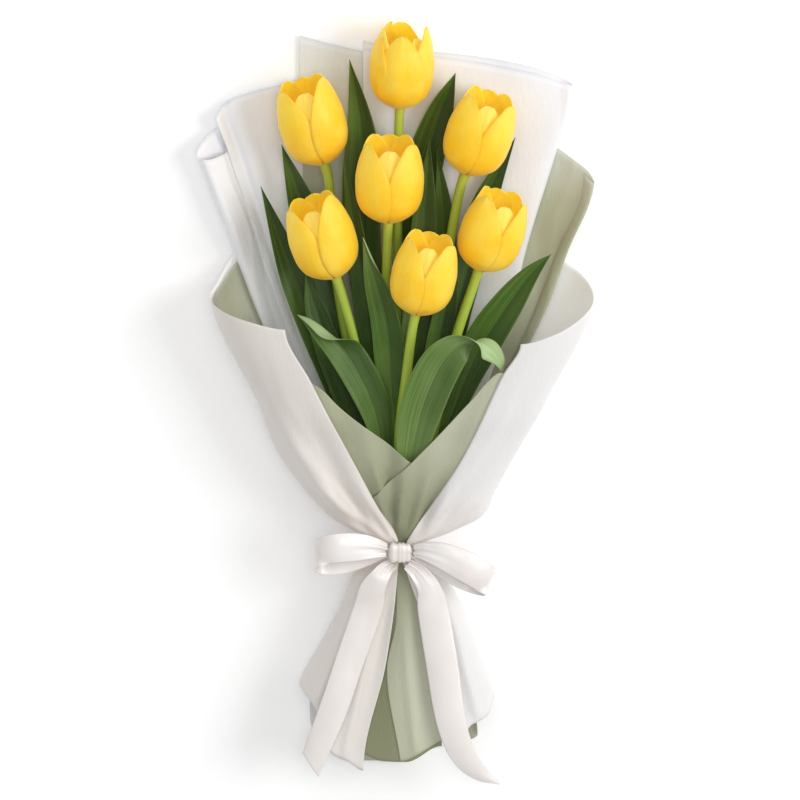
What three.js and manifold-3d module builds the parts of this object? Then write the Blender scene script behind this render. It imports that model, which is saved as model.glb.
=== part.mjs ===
// Bunch of seven tulips, wrapped in paper, tied with a ribbon bow and lying on its back.
// Millimetres. +X is to the right, +Y from the cut ends to the flowers, +Z up from the table.
// Inside the group the tie is the origin: y runs along the bunch and z is measured from its axis.

import * as THREE from 'three';
import { mergeVertices } from 'three/addons/utils/BufferGeometryUtils.js';
import Module from 'manifold-3d';

const wasm = await Module();
wasm.setup();

// ---------------------------------------------------------------- driving dimensions
const STEM_RADIUS = 3.5;
const STEM_SIDES = 8;
const STEM_STEPS = 13;
const STEM_PITCH = 7.7;          // between neighbouring stems at the tie
const CUT_END = -132;            // where the stems are cut, inside the skirt of the wrap

const BLOOM_HEIGHT = 53;
const BLOOM_RADIUS = 22.5;
const PETAL_THICKNESS = 0.8;
const PETAL_SWIRL = 0.9;         // one edge of an outer petal lies outside, the other is tucked in
const INNER_INSET = 2.3;         // the inner petals stand this far inside the outer ones
const BLOOM_RISE = 6;            // degrees that a flower looks up from the table

const LEAF_THICKNESS = 0.8;
const LEAF_STEPS = 11;
const TIP_HALF_WIDTH = 0.5;

const PAPER_THICKNESS = 0.6;
const LAYER_PITCH = 1.0;         // from one sheet of paper to the next
const LOOSENING = 0.08;          // what the pitch gains round the sides, per mm of wider radius
const LOOSE_TURN = Math.PI / 12;
const LOOSE_LAYERS = 1.3;
const TIE_RADIUS = 16.4;         // middle of the outermost sheet at the tie
const TABLE = -34;               // middle of the outermost sheet where it lies on the table

const RIBBON_THICKNESS = 0.8;
const BAND_HALF_HEIGHT = 5;
const CLEARANCE = 0.35;

const VIEW_LEAN = THREE.MathUtils.degToRad(13);

const COLOURS = {
  stem: 0x8fae3a, outerPetal: 0xf7c934, innerPetal: 0xf5bd28, leaf: 0x4d7040,
  whitePaper: 0xece9e8, sagePaper: 0xb9c2a4, ribbon: 0xf0e6e0,
};

// ---------------------------------------------------------------- helpers
const { clamp, degToRad, lerp } = THREE.MathUtils;

// A place as the bunch shows it from above, looking from a point leaned towards the flowers:
// x to the right of the tie, y up from the tie, and the true height z.
const seen = (x, y, z) =>
  new THREE.Vector3(x, (y + z * Math.sin(VIEW_LEAN)) / Math.cos(VIEW_LEAN), z);

// A smooth curve through rows of numbers, evenly spaced, for t from 0 to 1.
function through(rows, t) {
  const place = clamp(t, 0, 1) * (rows.length - 1);
  const i = Math.min(Math.floor(place), rows.length - 2);
  const f = place - i;
  const row = (k) => rows[clamp(k, 0, rows.length - 1)];
  const [a, b, c, d] = [row(i - 1), row(i), row(i + 1), row(i + 2)];
  return b.map((_, n) => {
    const startSlope = (c[n] - a[n]) / 2;
    const endSlope = (d[n] - b[n]) / 2;
    return hermite(b[n], c[n], startSlope, endSlope, f);
  });
}

function hermite(from, to, startSlope, endSlope, f) {
  const rise = 3 * f * f - 2 * f * f * f;
  return from * (1 - rise) + to * rise
    + startSlope * (f * f * f - 2 * f * f + f) + endSlope * (f * f * f - f * f);
}

// The values of a table [place, ...values] at a place, smooth and never past a row's value.
function along(table, place) {
  const last = table.length - 1;
  const at = clamp(place, table[0][0], table[last][0]);
  let i = 0;
  while (i < last - 1 && at > table[i + 1][0]) i += 1;
  const step = table[i + 1][0] - table[i][0];
  const f = (at - table[i][0]) / step;
  return table[i].slice(1).map((value, n) => {
    const column = n + 1;
    const rate = (k) => (table[k + 1][column] - table[k][column]) / (table[k + 1][0] - table[k][0]);
    const slope = (k) => {
      if (k <= 0 || k >= last) return 0;
      const [before, after] = [rate(k - 1), rate(k)];
      return before * after <= 0 ? 0 : (2 * before * after) / (before + after);
    };
    return hermite(value, table[i + 1][column], slope(i) * step, slope(i + 1) * step, f);
  });
}

// A closed body between two grids of points of the same size, with a rim round their borders.
function closeGrids(front, back) {
  const rows = front.length;
  const columns = front[0].length;
  const points = [...front.flat(), ...back.flat()];
  const index = [];
  const quad = (a, b, c, d) => index.push(a, b, c, a, c, d);
  const id = (i, j) => i * columns + j;
  const other = rows * columns;
  for (let i = 0; i < rows - 1; i += 1) {
    for (let j = 0; j < columns - 1; j += 1) {
      const [a, b, c, d] = [id(i, j), id(i, j + 1), id(i + 1, j + 1), id(i + 1, j)];
      quad(a, b, c, d);
      quad(other + a, other + d, other + c, other + b);
    }
  }
  const rim = [];
  for (let j = 0; j < columns - 1; j += 1) rim.push(id(0, j));
  for (let i = 0; i < rows - 1; i += 1) rim.push(id(i, columns - 1));
  for (let j = columns - 1; j > 0; j -= 1) rim.push(id(rows - 1, j));
  for (let i = rows - 1; i > 0; i -= 1) rim.push(id(i, 0));
  rim.forEach((a, k) => {
    const b = rim[(k + 1) % rim.length];
    quad(b, a, other + a, other + b);
  });
  return geometryOf(points, index);
}

function geometryOf(points, index) {
  const geometry = new THREE.BufferGeometry();
  geometry.setAttribute('position',
    new THREE.Float32BufferAttribute(points.flatMap((p) => p.toArray()), 3));
  geometry.setIndex(index);
  return geometry;
}

// A grid of points given a thickness, half to each side.
function thicken(grid, thickness) {
  const rows = grid.length;
  const columns = grid[0].length;
  const offset = (side) => grid.map((row, i) => row.map((point, j) => {
    const across = grid[i][Math.min(j + 1, columns - 1)].clone().sub(grid[i][Math.max(j - 1, 0)]);
    const up = grid[Math.min(i + 1, rows - 1)][j].clone().sub(grid[Math.max(i - 1, 0)][j]);
    return point.clone().addScaledVector(across.cross(up).normalize(), side * thickness / 2);
  }));
  return closeGrids(offset(1), offset(-1));
}

// A blade or strip: stations [x, y, z, half width, roll in degrees] from its base to its tip.
// channel lifts its two edges, and across is the way its width points where it can't lie level.
function blade(stations, { thickness, steps, channel = 0, columns = [-1, -0.4, 0.4, 1], across }) {
  const spineAt = (t) => {
    const [x, y, z] = through(stations, t);
    return new THREE.Vector3(x, y, z);
  };
  const grid = [];
  for (let i = 0; i <= steps; i += 1) {
    const t = i / steps;
    const [, , , half, roll] = through(stations, t);
    const centre = spineAt(t);
    const ahead = spineAt(Math.min(t + 0.01, 1)).sub(spineAt(Math.max(t - 0.01, 0))).normalize();
    const level = across
      ? across.clone().addScaledVector(ahead, -across.dot(ahead)).normalize()
      : ahead.clone().cross(new THREE.Vector3(0, 0, 1)).normalize();
    const wide = level.applyAxisAngle(ahead, -degToRad(roll));
    const face = wide.clone().cross(ahead);
    const halfWidth = Math.max(half, TIP_HALF_WIDTH);
    grid.push(columns.map((c) => centre.clone()
      .addScaledVector(wide, c * halfWidth)
      .addScaledVector(face, channel * halfWidth * c * c)));
  }
  return thicken(grid, thickness);
}

function toSolid(geometry) {
  const plain = geometry.clone();
  plain.deleteAttribute('normal');
  plain.deleteAttribute('uv');
  const merged = mergeVertices(plain, 1e-4);
  return new wasm.Manifold(new wasm.Mesh({
    numProp: 3,
    vertProperties: merged.attributes.position.array,
    triVerts: Uint32Array.from(merged.index.array),
  }));
}

function toGeometry(solid) {
  const { vertProperties, triVerts } = solid.getMesh();
  const geometry = new THREE.BufferGeometry();
  geometry.setAttribute('position', new THREE.BufferAttribute(vertProperties, 3));
  geometry.setIndex(new THREE.BufferAttribute(triVerts, 1));
  return geometry;
}

// What is left of a piece when its neighbours' room is cut out of it: its largest part.
function cutClear(geometry, rooms) {
  const left = rooms.reduce((solid, room) => solid.subtract(room), toSolid(geometry));
  const parts = left.decompose();
  parts.sort((a, b) => b.volume() - a.volume());
  return toGeometry(parts[0]);
}

const group = new THREE.Group();

function add(name, geometry, colour, roughness = 0.6, parent = group) {
  const material = new THREE.MeshStandardMaterial({ color: colour, roughness, metalness: 0 });
  const mesh = new THREE.Mesh(geometry, material);
  mesh.name = name;
  parent.add(mesh);
}

// ---------------------------------------------------------------- stems
// Each tulip: base of the flower (seen), lean to the right and turn about its own axis in
// degrees, 1 or -1 for whether the left or right edges of its petals lie outside, its stem's place
// at the tie in pitches, its size, and where the stem passes between tie and flower (seen).
const HEX = Math.sqrt(3) / 2;
const TULIPS = [
  { base: [0, 300, -8.8], lean: 3, turn: 56, edge: -1, slot: [0, -1], size: 0.95,
    way: [[-1.3, 150, -13], [-1.4, 255, -15.5]] },
  { base: [-52, 263, -7], lean: -15, turn: 0, edge: 1, slot: [-HEX, -0.5], size: 1,
    way: [[-24, 80, -5.5], [-41, 168, -9], [-46, 212, -10]] },
  { base: [45, 256, -5], lean: 18, turn: 3, edge: -1, slot: [HEX, -0.5], size: 1,
    way: [[17, 85, -4.5], [28, 170, -6]] },
  { base: [-8, 223, 10], lean: 1.5, turn: 0, edge: -1, slot: [0, 0], size: 1.02,
    way: [[-5, 80, 3.5], [-9.5, 155, 7]] },
  { base: [-44, 186, 15.5], lean: -18, turn: -5, edge: 1, slot: [-HEX, 0.5], size: 1,
    way: [[-16, 62, 5.6], [-27, 124, 9.5]] },
  { base: [54, 191, 9.5], lean: 18, turn: 16, edge: -1, slot: [HEX, 0.5], size: 0.97,
    way: [[21, 70, 5.4], [38, 143, 7.5]] },
  { base: [11, 161, 27], lean: 11, turn: 0, edge: -1, slot: [0, 1], size: 0.97,
    way: [[-1.2, 70, 16], [4, 115, 21.5]] },
];

const flowerAxis = ({ lean }) => new THREE.Vector3(
  Math.sin(degToRad(lean)) * Math.cos(degToRad(BLOOM_RISE)),
  Math.cos(degToRad(lean)) * Math.cos(degToRad(BLOOM_RISE)),
  Math.sin(degToRad(BLOOM_RISE)),
);

function stemRoute(tulip) {
  const [slotX, slotZ] = tulip.slot.map((pitches) => pitches * STEM_PITCH);
  const base = seen(...tulip.base);
  const belowFlower = base.clone().addScaledVector(flowerAxis(tulip), -14);
  return new THREE.CatmullRomCurve3([
    new THREE.Vector3(slotX * 1.5, CUT_END - tulip.slot[1] * 3, slotZ * 1.3),
    new THREE.Vector3(slotX * 1.05, -30, slotZ * 1.05),
    new THREE.Vector3(slotX, 0, slotZ),
    ...tulip.way.map((place) => seen(...place)),
    belowFlower,
    base,
  ], false, 'centripetal');
}

function stemSolid(tulip, radius) {
  const section = new THREE.Shape();
  for (let k = 0; k < STEM_SIDES; k += 1) {
    const turn = (k / STEM_SIDES) * 2 * Math.PI;
    const [x, y] = [radius * Math.cos(turn), radius * Math.sin(turn)];
    if (k === 0) section.moveTo(x, y);
    else section.lineTo(x, y);
  }
  return new THREE.ExtrudeGeometry(section, {
    steps: STEM_STEPS, bevelEnabled: false, extrudePath: stemRoute(tulip),
  });
}

TULIPS.forEach((tulip, k) => add(`tulip_${k + 1}_stem`, stemSolid(tulip, STEM_RADIUS), COLOURS.stem));
const stemRooms = TULIPS.map((tulip) => toSolid(stemSolid(tulip, STEM_RADIUS + CLEARANCE)));

// ---------------------------------------------------------------- flowers
// In a flower's own frame x is its right, y its axis and z the side that faces up.
// Profile of the outer petals: [share of the way up, radius, height, half angle in degrees].
const PROFILE = [
  [0, 4.3 / BLOOM_RADIUS, -0.045, 50],
  [0.12, 0.52, 0.02, 56],
  [0.26, 0.85, 0.15, 63],
  [0.42, 0.98, 0.33, 66],
  [0.58, 1, 0.52, 64],
  [0.74, 0.92, 0.71, 55],
  [0.88, 0.79, 0.88, 36],
  [1, 0.68, 1, 4],
];

function flowerPoint(share, turn, inset) {
  const [radius, height] = along(PROFILE, share);
  const r = radius * BLOOM_RADIUS - inset;
  return new THREE.Vector3(r * Math.sin(turn), height * BLOOM_HEIGHT, r * Math.cos(turn));
}

function outerPetal(facing, edge) {
  const rows = [0, 0.12, 0.3, 0.52, 0.72, 0.88, 1];
  const columns = [-1, -0.5, 0, 0.5, 1];
  const grid = rows.map((share) => {
    const half = degToRad(along(PROFILE, share)[2]);
    const swirl = edge * PETAL_SWIRL * Math.min(share / 0.18, 1);
    return columns.map((c) => flowerPoint(share, degToRad(facing) + c * half, c * swirl));
  });
  return thicken(grid, PETAL_THICKNESS);
}

// The three inner petals, grown together at their base into one cup with three tips.
function innerPetals() {
  const sides = 15;
  const rows = [0.14, 0.34, 0.58, 0.8, 1];
  const tipLobe = (turn) => 0.8 + 0.2 * Math.abs(Math.cos(1.5 * turn));
  const shell = (inset, floor) => {
    const points = [new THREE.Vector3(0, floor, 0)];
    rows.forEach((row) => {
      for (let k = 0; k < sides; k += 1) {
        const turn = (k / sides) * 2 * Math.PI;
        points.push(flowerPoint(row * tipLobe(turn), turn, inset));
      }
    });
    return points;
  };
  const outside = shell(INNER_INSET, CLEARANCE + 0.3);
  const inside = shell(INNER_INSET + PETAL_THICKNESS, CLEARANCE + 0.3 + 2 * PETAL_THICKNESS);
  const other = outside.length;
  const index = [];
  for (let k = 0; k < sides; k += 1) {
    const [a, b] = [1 + k, 1 + ((k + 1) % sides)];
    index.push(0, b, a, other, other + a, other + b);
    for (let i = 0; i < rows.length - 1; i += 1) {
      const [low, high] = [i * sides, (i + 1) * sides];
      index.push(a + low, b + low, b + high, a + low, b + high, a + high);
      index.push(other + a + low, other + b + high, other + b + low);
      index.push(other + a + low, other + a + high, other + b + high);
    }
    const rim = (rows.length - 1) * sides;
    index.push(a + rim, b + rim, other + b + rim, a + rim, other + b + rim, other + a + rim);
  }
  return geometryOf([...outside, ...inside], index);
}

const PETAL_FACINGS = { a: -60, b: 60, c: 180 };
TULIPS.forEach((tulip, k) => {
  const flower = new THREE.Group();
  const axis = flowerAxis(tulip);
  const right = axis.clone().cross(new THREE.Vector3(0, 0, 1)).normalize();
  const front = right.clone().cross(axis);
  flower.position.copy(seen(...tulip.base));
  flower.quaternion.setFromRotationMatrix(new THREE.Matrix4().makeBasis(right, axis, front));
  flower.rotateY(degToRad(tulip.turn));
  flower.scale.setScalar(tulip.size);
  group.add(flower);
  Object.entries(PETAL_FACINGS).forEach(([letter, facing]) => {
    const petal = outerPetal(facing, tulip.edge);
    add(`tulip_${k + 1}_outer_petal_${letter}`, petal, COLOURS.outerPetal, 0.5, flower);
  });
  add(`tulip_${k + 1}_inner_petals`, innerPetals(), COLOURS.innerPetal, 0.5, flower);
});

// ---------------------------------------------------------------- leaves
// Stations from the base at the stem to the tip: [x, y, z] seen, half width, roll.
const LEAVES = {
  tulip_1_leaf_a: [[-4.6, 40, -10, 3, 50], [-9, 80, -12.5, 7, 20], [-17, 140, -15, 10, 8],
    [-24, 200, -17, 12, 6], [-26, 245, -18, 13, 6], [-26, 285, -19, 9.5, 10], [-34, 330, -14, 0, 10]],
  tulip_1_leaf_b: [[2, 40, -13.4, 4, 0], [3, 100, -17, 8, 0], [5, 165, -20.5, 11, -4],
    [9, 225, -22.5, 13, -6], [16, 262, -21.5, 13, -8], [27, 296, -18, 9, -8], [37.5, 321, -14, 0, -8]],
  tulip_2_leaf_a: [[-15, 45, -8.4, 4, 0], [-29, 105, -11.5, 8, 0], [-44, 160, -14, 11, 0],
    [-57, 205, -15, 11.5, 0], [-67, 236, -13.5, 9, 4], [-80, 273, -8, 0, 4]],
  tulip_2_leaf_b: [[-9.2, 40, -3, 2.5, 60], [-12, 80, -2.5, 5, 20], [-19, 135, -2.2, 7.5, 10],
    [-25, 180, -3, 7.5, 8], [-31, 220, -4, 5.5, 8], [-38, 263, -3, 0, 8]],
  tulip_3_leaf_a: [[16.6, 48, -9.2, 4, 0], [27, 100, -14, 8, -4], [38, 160, -17.5, 10, -6],
    [48, 200, -20, 11, -6], [58, 237, -19.5, 8.5, -10], [78, 278, -14, 0, -14]],
  tulip_3_leaf_b: [[6.2, 40, -8, 2.6, -10], [9, 72, -9.2, 4, 0], [20, 130, -11.3, 8, 0],
    [27, 180, -13.5, 9, 0], [30, 220, -15, 7.5, 0], [25, 270, -12, 0, 0]],
  tulip_4_leaf_a: [[-2, 46, 6.5, 4, 0], [-3, 74, 9.4, 6.5, 0], [-6, 112, 12.5, 9.5, 4],
    [-9, 150, 16, 10, 8], [-17, 182, 19, 7, 12], [-25, 210, 20, 0, 12]],
  tulip_4_leaf_b: [[-2, 46, -2.4, 3.5, 0], [3, 95, -2.2, 6.5, 0], [9, 145, -4, 8.5, 0],
    [14, 190, -6, 9, 0], [17, 230, -7, 7.5, 0], [20, 276, -4, 0, 0]],
  tulip_5_leaf_a: [[-18.6, 42, 2, 3.5, -60], [-33, 85, -5, 8, -20], [-48, 125, -8, 10.5, -12],
    [-62, 160, -9, 11, -10], [-75, 192, -8, 9, -10], [-94, 245, -2, 0, -10]],
  tulip_5_leaf_b: [[-18, 48, 7.4, 3.2, -30], [-27, 72, 4, 5.5, -16], [-38, 105, 1.5, 8.5, -10],
    [-49, 137, 0.8, 9, -6], [-58, 164, 1, 6.5, -6], [-64, 186, 2, 0, -6]],
  tulip_6_leaf_a: [[22, 48, 4.5, 3, 60], [30, 75, 3, 6, 24], [42, 110, 2, 10, 10],
    [56, 140, 2, 12.5, 4], [72, 165, 4, 11, 0], [88, 186, 7, 6, 0], [102, 199, 10, 0, 0]],
  tulip_6_leaf_b: [[12.6, 52, 4, 3, 30], [15, 80, 2.2, 5, 10], [21, 115, 1.5, 7.5, 0],
    [28, 150, 1, 8, 0], [34, 178, 1.5, 5.5, 0], [38, 198, 2, 0, 0]],
  tulip_7_leaf_a: [[-6, 34, 12.5, 3, -40], [-12, 66, 15.5, 6, -30], [-19, 98, 19, 11, -22],
    [-34, 128, 23, 12, -14], [-49, 145, 24, 9, -10], [-60, 154, 20, 5, -6], [-69, 158, 14, 0, 0]],
  tulip_7_leaf_b: [[1, 34, 16.2, 3.6, 0], [2, 62, 21, 7, 4], [10, 95, 29, 11.5, 6],
    [22, 122, 38, 13.5, 8], [37, 137, 44, 11, 0], [51, 138, 43, 7, -20], [61, 132, 38, 5, -24],
    [67, 123, 33, 0, -24]],
};

Object.entries(LEAVES).forEach(([name, stations]) => {
  const placed = stations.map(([x, y, z, half, roll]) => [...seen(x, y, z).toArray(), half, roll]);
  const leaf = blade(placed, { thickness: LEAF_THICKNESS, steps: LEAF_STEPS, channel: 0.16 });
  add(name, cutClear(leaf, stemRooms), COLOURS.leaf);
});

// ---------------------------------------------------------------- paper
// All sheets follow one family of sections, one inside the other, that lie flat on the table,
// rise round at each side and come over the front. Rows: y, half width, radius of the round
// sides, lowest point, middle.
const SECTIONS = [
  [-175, 74, 27, TABLE, -2],
  [-92, 65, 25, TABLE, -3],
  [-40, 44, 21, -27, -2],
  [-16, 30, 17.8, -19.5, -3],
  [-6, TIE_RADIUS, TIE_RADIUS, -TIE_RADIUS, 0],
  [6, TIE_RADIUS, TIE_RADIUS, -TIE_RADIUS, 0],
  [14, 36, 17.5, -18.5, 2],
  [23, 53, 19.5, -22, 4],
  [40, 65, 24.8, -28, 0],
  [68, 82, 30, -33, -2],
  [82, 89, 32, TABLE, -1],
  [103, 98, 35, TABLE, 1],
  [173, 129.5, 37, TABLE, 1.5],
  [214, 134, 40, TABLE, 0],
  [262, 152, 43, TABLE, -1],
  [360, 158, 46, TABLE, -3],
];

// A point of a sheet at y, run millimetres round from the middle of the back, offset inwards.
// The sheets loosen from one another as their round sides grow wider than the tie.
function wrapPoint(run, y, layer, offset) {
  const [half, radius, lowest, middle] = along(SECTIONS, y);
  const flat = half - radius;
  const beyond = Math.abs(run) - flat;
  const turn = clamp(beyond / radius, 0, Math.PI);
  const loose = LOOSENING * Math.min(turn / LOOSE_TURN, 1) * (radius - TIE_RADIUS);
  const inset = layer * LAYER_PITCH + Math.min(layer, LOOSE_LAYERS) * loose + offset;
  const straight = beyond < 0 ? beyond : -Math.max(beyond - Math.PI * radius, 0);
  return new THREE.Vector3(
    middle + Math.sign(run) * (flat + straight + Math.sin(turn) * (radius - inset)),
    y,
    lowest + radius - Math.cos(turn) * (radius - inset),
  );
}

// How far round the section a place lies: under x on the back, or at x in front.
const backRun = (x, y) => {
  const [half, radius, , middle] = along(SECTIONS, y);
  const beyond = Math.abs(x - middle) - (half - radius);
  const round = beyond > 0 ? radius * Math.asin(clamp(beyond / radius, 0, 1)) - beyond : 0;
  return Math.sign(x - middle) * (Math.abs(x - middle) + round);
};
const halfRound = (y) => {
  const [half, radius] = along(SECTIONS, y);
  return 2 * (half - radius) + Math.PI * radius;
};
const frontRun = (x, y, side) => side * halfRound(y) - (x - along(SECTIONS, y)[3]);

// Rows of a sheet: true distances near the tie, then shares of the way to its top or its hem.
const ROWS_TO_HEM = [1, 0.66, 0.33];
const ROWS_BELOW_TIE = [-40, -16];
const ROWS_AT_TIE = [-6, 6, 14, 23, 40];
const ROWS_TO_TOP = [0.16, 0.34, 0.56, 0.78, 1];

// A sheet between left(y) and right(y), both as runs, from its hem to its top, both by share.
// rise lifts it off its layer towards the flowers, and a sheet without a hem ends at the tie.
// The runs of a sheet that lies over the front start at the middle of the front.
function paperSheet({ layer, columns, left, right, hem, top, rise = () => 0, overFront = false }) {
  const side = (offset) => {
    const rowOf = (yOf) => Array.from({ length: columns + 1 }, (_, j) => {
      const share = j / columns;
      const y = yOf(share);
      const run = lerp(left(y), right(y), share);
      const round = overFront ? Math.sign(run || 1) * (halfRound(y) - Math.abs(run)) : run;
      return wrapPoint(round, y, layer, offset + rise(share, y));
    });
    const lastBelow = ROWS_BELOW_TIE[0];
    const lastAbove = ROWS_AT_TIE[ROWS_AT_TIE.length - 1];
    const skirt = hem ? [
      ...ROWS_TO_HEM.map((part) => rowOf((share) => lerp(lastBelow, along(hem, share)[0], part))),
      ...ROWS_BELOW_TIE.map((y) => rowOf(() => y)),
    ] : [];
    return [
      ...skirt,
      ...ROWS_AT_TIE.map((y) => rowOf(() => y)),
      ...ROWS_TO_TOP.map((part) => rowOf((share) => lerp(lastAbove, along(top, share)[0], part))),
    ];
  };
  const half = PAPER_THICKNESS / 2;
  return overFront ? closeGrids(side(-half), side(half)) : closeGrids(side(half), side(-half));
}

const ease = (from, to, value) => THREE.MathUtils.smoothstep(value, from, to);
const backEdge = (outline) => (y) => backRun(along(outline, y)[0], y);

// The outer white wrap: its two lapels turn over the front and meet at the tie.
const LEFT_LAPEL = [[-152, -26], [-12, -2], [0, -0.6], [8, -1], [34, -15], [68, -32], [125, -60], [161, -77]];
const RIGHT_LAPEL = [[-150, 27], [-12, 4], [0, 0.6], [8, 4], [36, 22], [71, 43], [129, 69], [151, 81]];
add('white_outer_wrap', paperSheet({
  layer: 0,
  columns: 28,
  left: (y) => frontRun(along(LEFT_LAPEL, y)[0], y, -1),
  right: (y) => frontRun(along(RIGHT_LAPEL, y)[0], y, 1),
  hem: [[0, -152], [0.1, -146], [0.22, -100], [0.4, -128], [0.6, -132], [0.8, -104], [0.9, -126], [1, -134]],
  top: [[0, 161], [0.06, 166], [0.14, 174], [0.2, 180], [0.27, 203], [0.4, 214], [0.6, 210],
    [0.74, 194], [0.82, 178], [0.88, 168], [0.95, 156], [1, 151]],
}), COLOURS.whitePaper, 0.8);

// The white sheet on the left, pleated so that it shows two rolled edges.
add('white_left_sheet', paperSheet({
  layer: 2,
  columns: 12,
  left: backEdge([[-150, -66], [-92, -62], [-40, -40], [-16, -24], [-6, -14.4], [6, -14.4], [14, -24],
    [40, -42], [68, -58], [103, -74], [152, -95], [274, -143]]),
  right: backEdge([[-150, -20], [-40, -12], [-6, -2], [6, -2], [40, -14], [103, -34], [200, -52], [320, -62]]),
  hem: [[0, -118], [0.3, -136], [1, -142]],
  top: [[0, 274], [0.27, 283], [0.34, 303], [0.7, 316], [1, 323]],
  rise: (share, y) => ease(120, 220, y) * (7 * ease(0.22, 0.34, share) * (1 - ease(0.34, 0.6, share))
    + 5 * (1 - ease(0, 0.22, share))) + 2.4 * ease(100, 140, y) * (1 - ease(0.4, 0.8, share))
    - 0.4 * (1 - ease(-140, -60, y)) + 0.5 * ease(20, 50, y) * (1 - ease(0.3, 0.7, share)),
}), COLOURS.whitePaper, 0.8);

// The sage sheet behind the flowers, seen at the upper left and at the right.
add('sage_back_sheet', paperSheet({
  layer: 3,
  columns: 12,
  left: backEdge([[-150, -52], [-92, -46], [-40, -26], [-16, -14], [-6, -9.6], [6, -9.6], [14, -14],
    [40, -24], [68, -34], [150, -50], [250, -66], [350, -68]]),
  right: backEdge([[-150, 56], [-92, 50], [-40, 30], [-16, 16], [-6, 10.6], [6, 10.6], [14, 19],
    [40, 38], [68, 52], [103, 72], [152, 96.5], [200, 113.5], [253, 131.5]]),
  hem: [[0, -150], [0.3, -161], [0.5, -161], [0.75, -152], [1, -138]],
  top: [[0, 349], [0.35, 338], [0.6, 312], [0.87, 267], [1, 253]],
}), COLOURS.sagePaper, 0.8);

// The tall white sheet behind the flowers, with its right edge rolled forward.
add('white_back_sheet', paperSheet({
  layer: 4,
  columns: 10,
  left: backEdge([[-6, 0.4], [6, 0.4], [14, 0], [40, -6], [68, -10], [150, -18], [250, -24], [345, -25]]),
  right: backEdge([[-6, 9.2], [6, 9.2], [14, 14], [40, 28], [68, 42], [103, 58], [152, 74], [205, 86.5],
    [269, 105.5], [320, 118.8]]),
  top: [[0, 345], [0.17, 343], [0.33, 340], [0.56, 334], [0.78, 327], [1, 319]],
  rise: (share, y) => (share + 9 * ease(0.84, 1, share)) * ease(60, 200, y),
}), COLOURS.whitePaper, 0.8);

// The sage sheet inside the lapels, crossed over the front in a V, with its hem below the bow.
add('sage_front_wrap', paperSheet({
  layer: 1,
  columns: 28,
  overFront: true,
  left: (y) => -halfRound(y) * along([[-160, 0.18], [-40, 0.17], [-16, 0.24], [-6, 0.5], [6, 0.62],
    [68, 0.6], [115, 0.6], [150, 0.78], [200, 0.78]], y)[0],
  right: (y) => halfRound(y) * along([[-160, 0.18], [-40, 0.18], [-16, 0.26], [-6, 0.42], [6, 0.46],
    [68, 0.44], [200, 0.44]], y)[0],
  hem: [[0, -140], [0.35, -145], [0.6, -146], [1, -136]],
  top: [[0, 200], [0.1, 194], [0.178, 173], [0.23, 168], [0.275, 163], [0.369, 150], [0.434, 125],
    [0.535, 92], [0.667, 65], [0.774, 96], [0.864, 129], [0.932, 144], [1, 140]],
  rise: (share, y) => 0.36 * (1 - ease(0.3, 0.4, share)) * ease(0, 10, y) + ease(0.24, 0.36, share)
    * (0.5 * ease(0, 6, y) + 0.3 * ease(6, 14, y) * (1 - ease(30, 60, y))),
}), COLOURS.sagePaper, 0.8);

// ---------------------------------------------------------------- ribbon
const bandInside = TIE_RADIUS + PAPER_THICKNESS / 2 + CLEARANCE;
const bandOutside = bandInside + RIBBON_THICKNESS;
add('ribbon_band', new THREE.LatheGeometry([
  new THREE.Vector2(bandInside, -BAND_HALF_HEIGHT),
  new THREE.Vector2(bandOutside, -BAND_HALF_HEIGHT),
  new THREE.Vector2(bandOutside, BAND_HALF_HEIGHT),
  new THREE.Vector2(bandInside, BAND_HALF_HEIGHT),
  new THREE.Vector2(bandInside, -BAND_HALF_HEIGHT),
], 28), COLOURS.ribbon, 0.35);

// The knot: a rounded block on the front of the band.
const KNOT = { width: 15.6, length: 13, height: 7.5, bevel: 1.6, y: 2.4 };
const knotOutline = new THREE.Shape();
const knotHalf = { x: KNOT.width / 2 - KNOT.bevel, y: KNOT.length / 2 - KNOT.bevel };
knotOutline.moveTo(-knotHalf.x, -knotHalf.y);
knotOutline.lineTo(knotHalf.x, -knotHalf.y);
knotOutline.lineTo(knotHalf.x, knotHalf.y);
knotOutline.lineTo(-knotHalf.x, knotHalf.y);
const knot = new THREE.ExtrudeGeometry(knotOutline, {
  depth: KNOT.height - 2 * KNOT.bevel, bevelThickness: KNOT.bevel, bevelSize: KNOT.bevel, bevelSegments: 2,
});
knot.translate(0, KNOT.y, bandOutside + CLEARANCE + KNOT.bevel);
add('ribbon_knot', knot, COLOURS.ribbon, 0.35);

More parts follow.
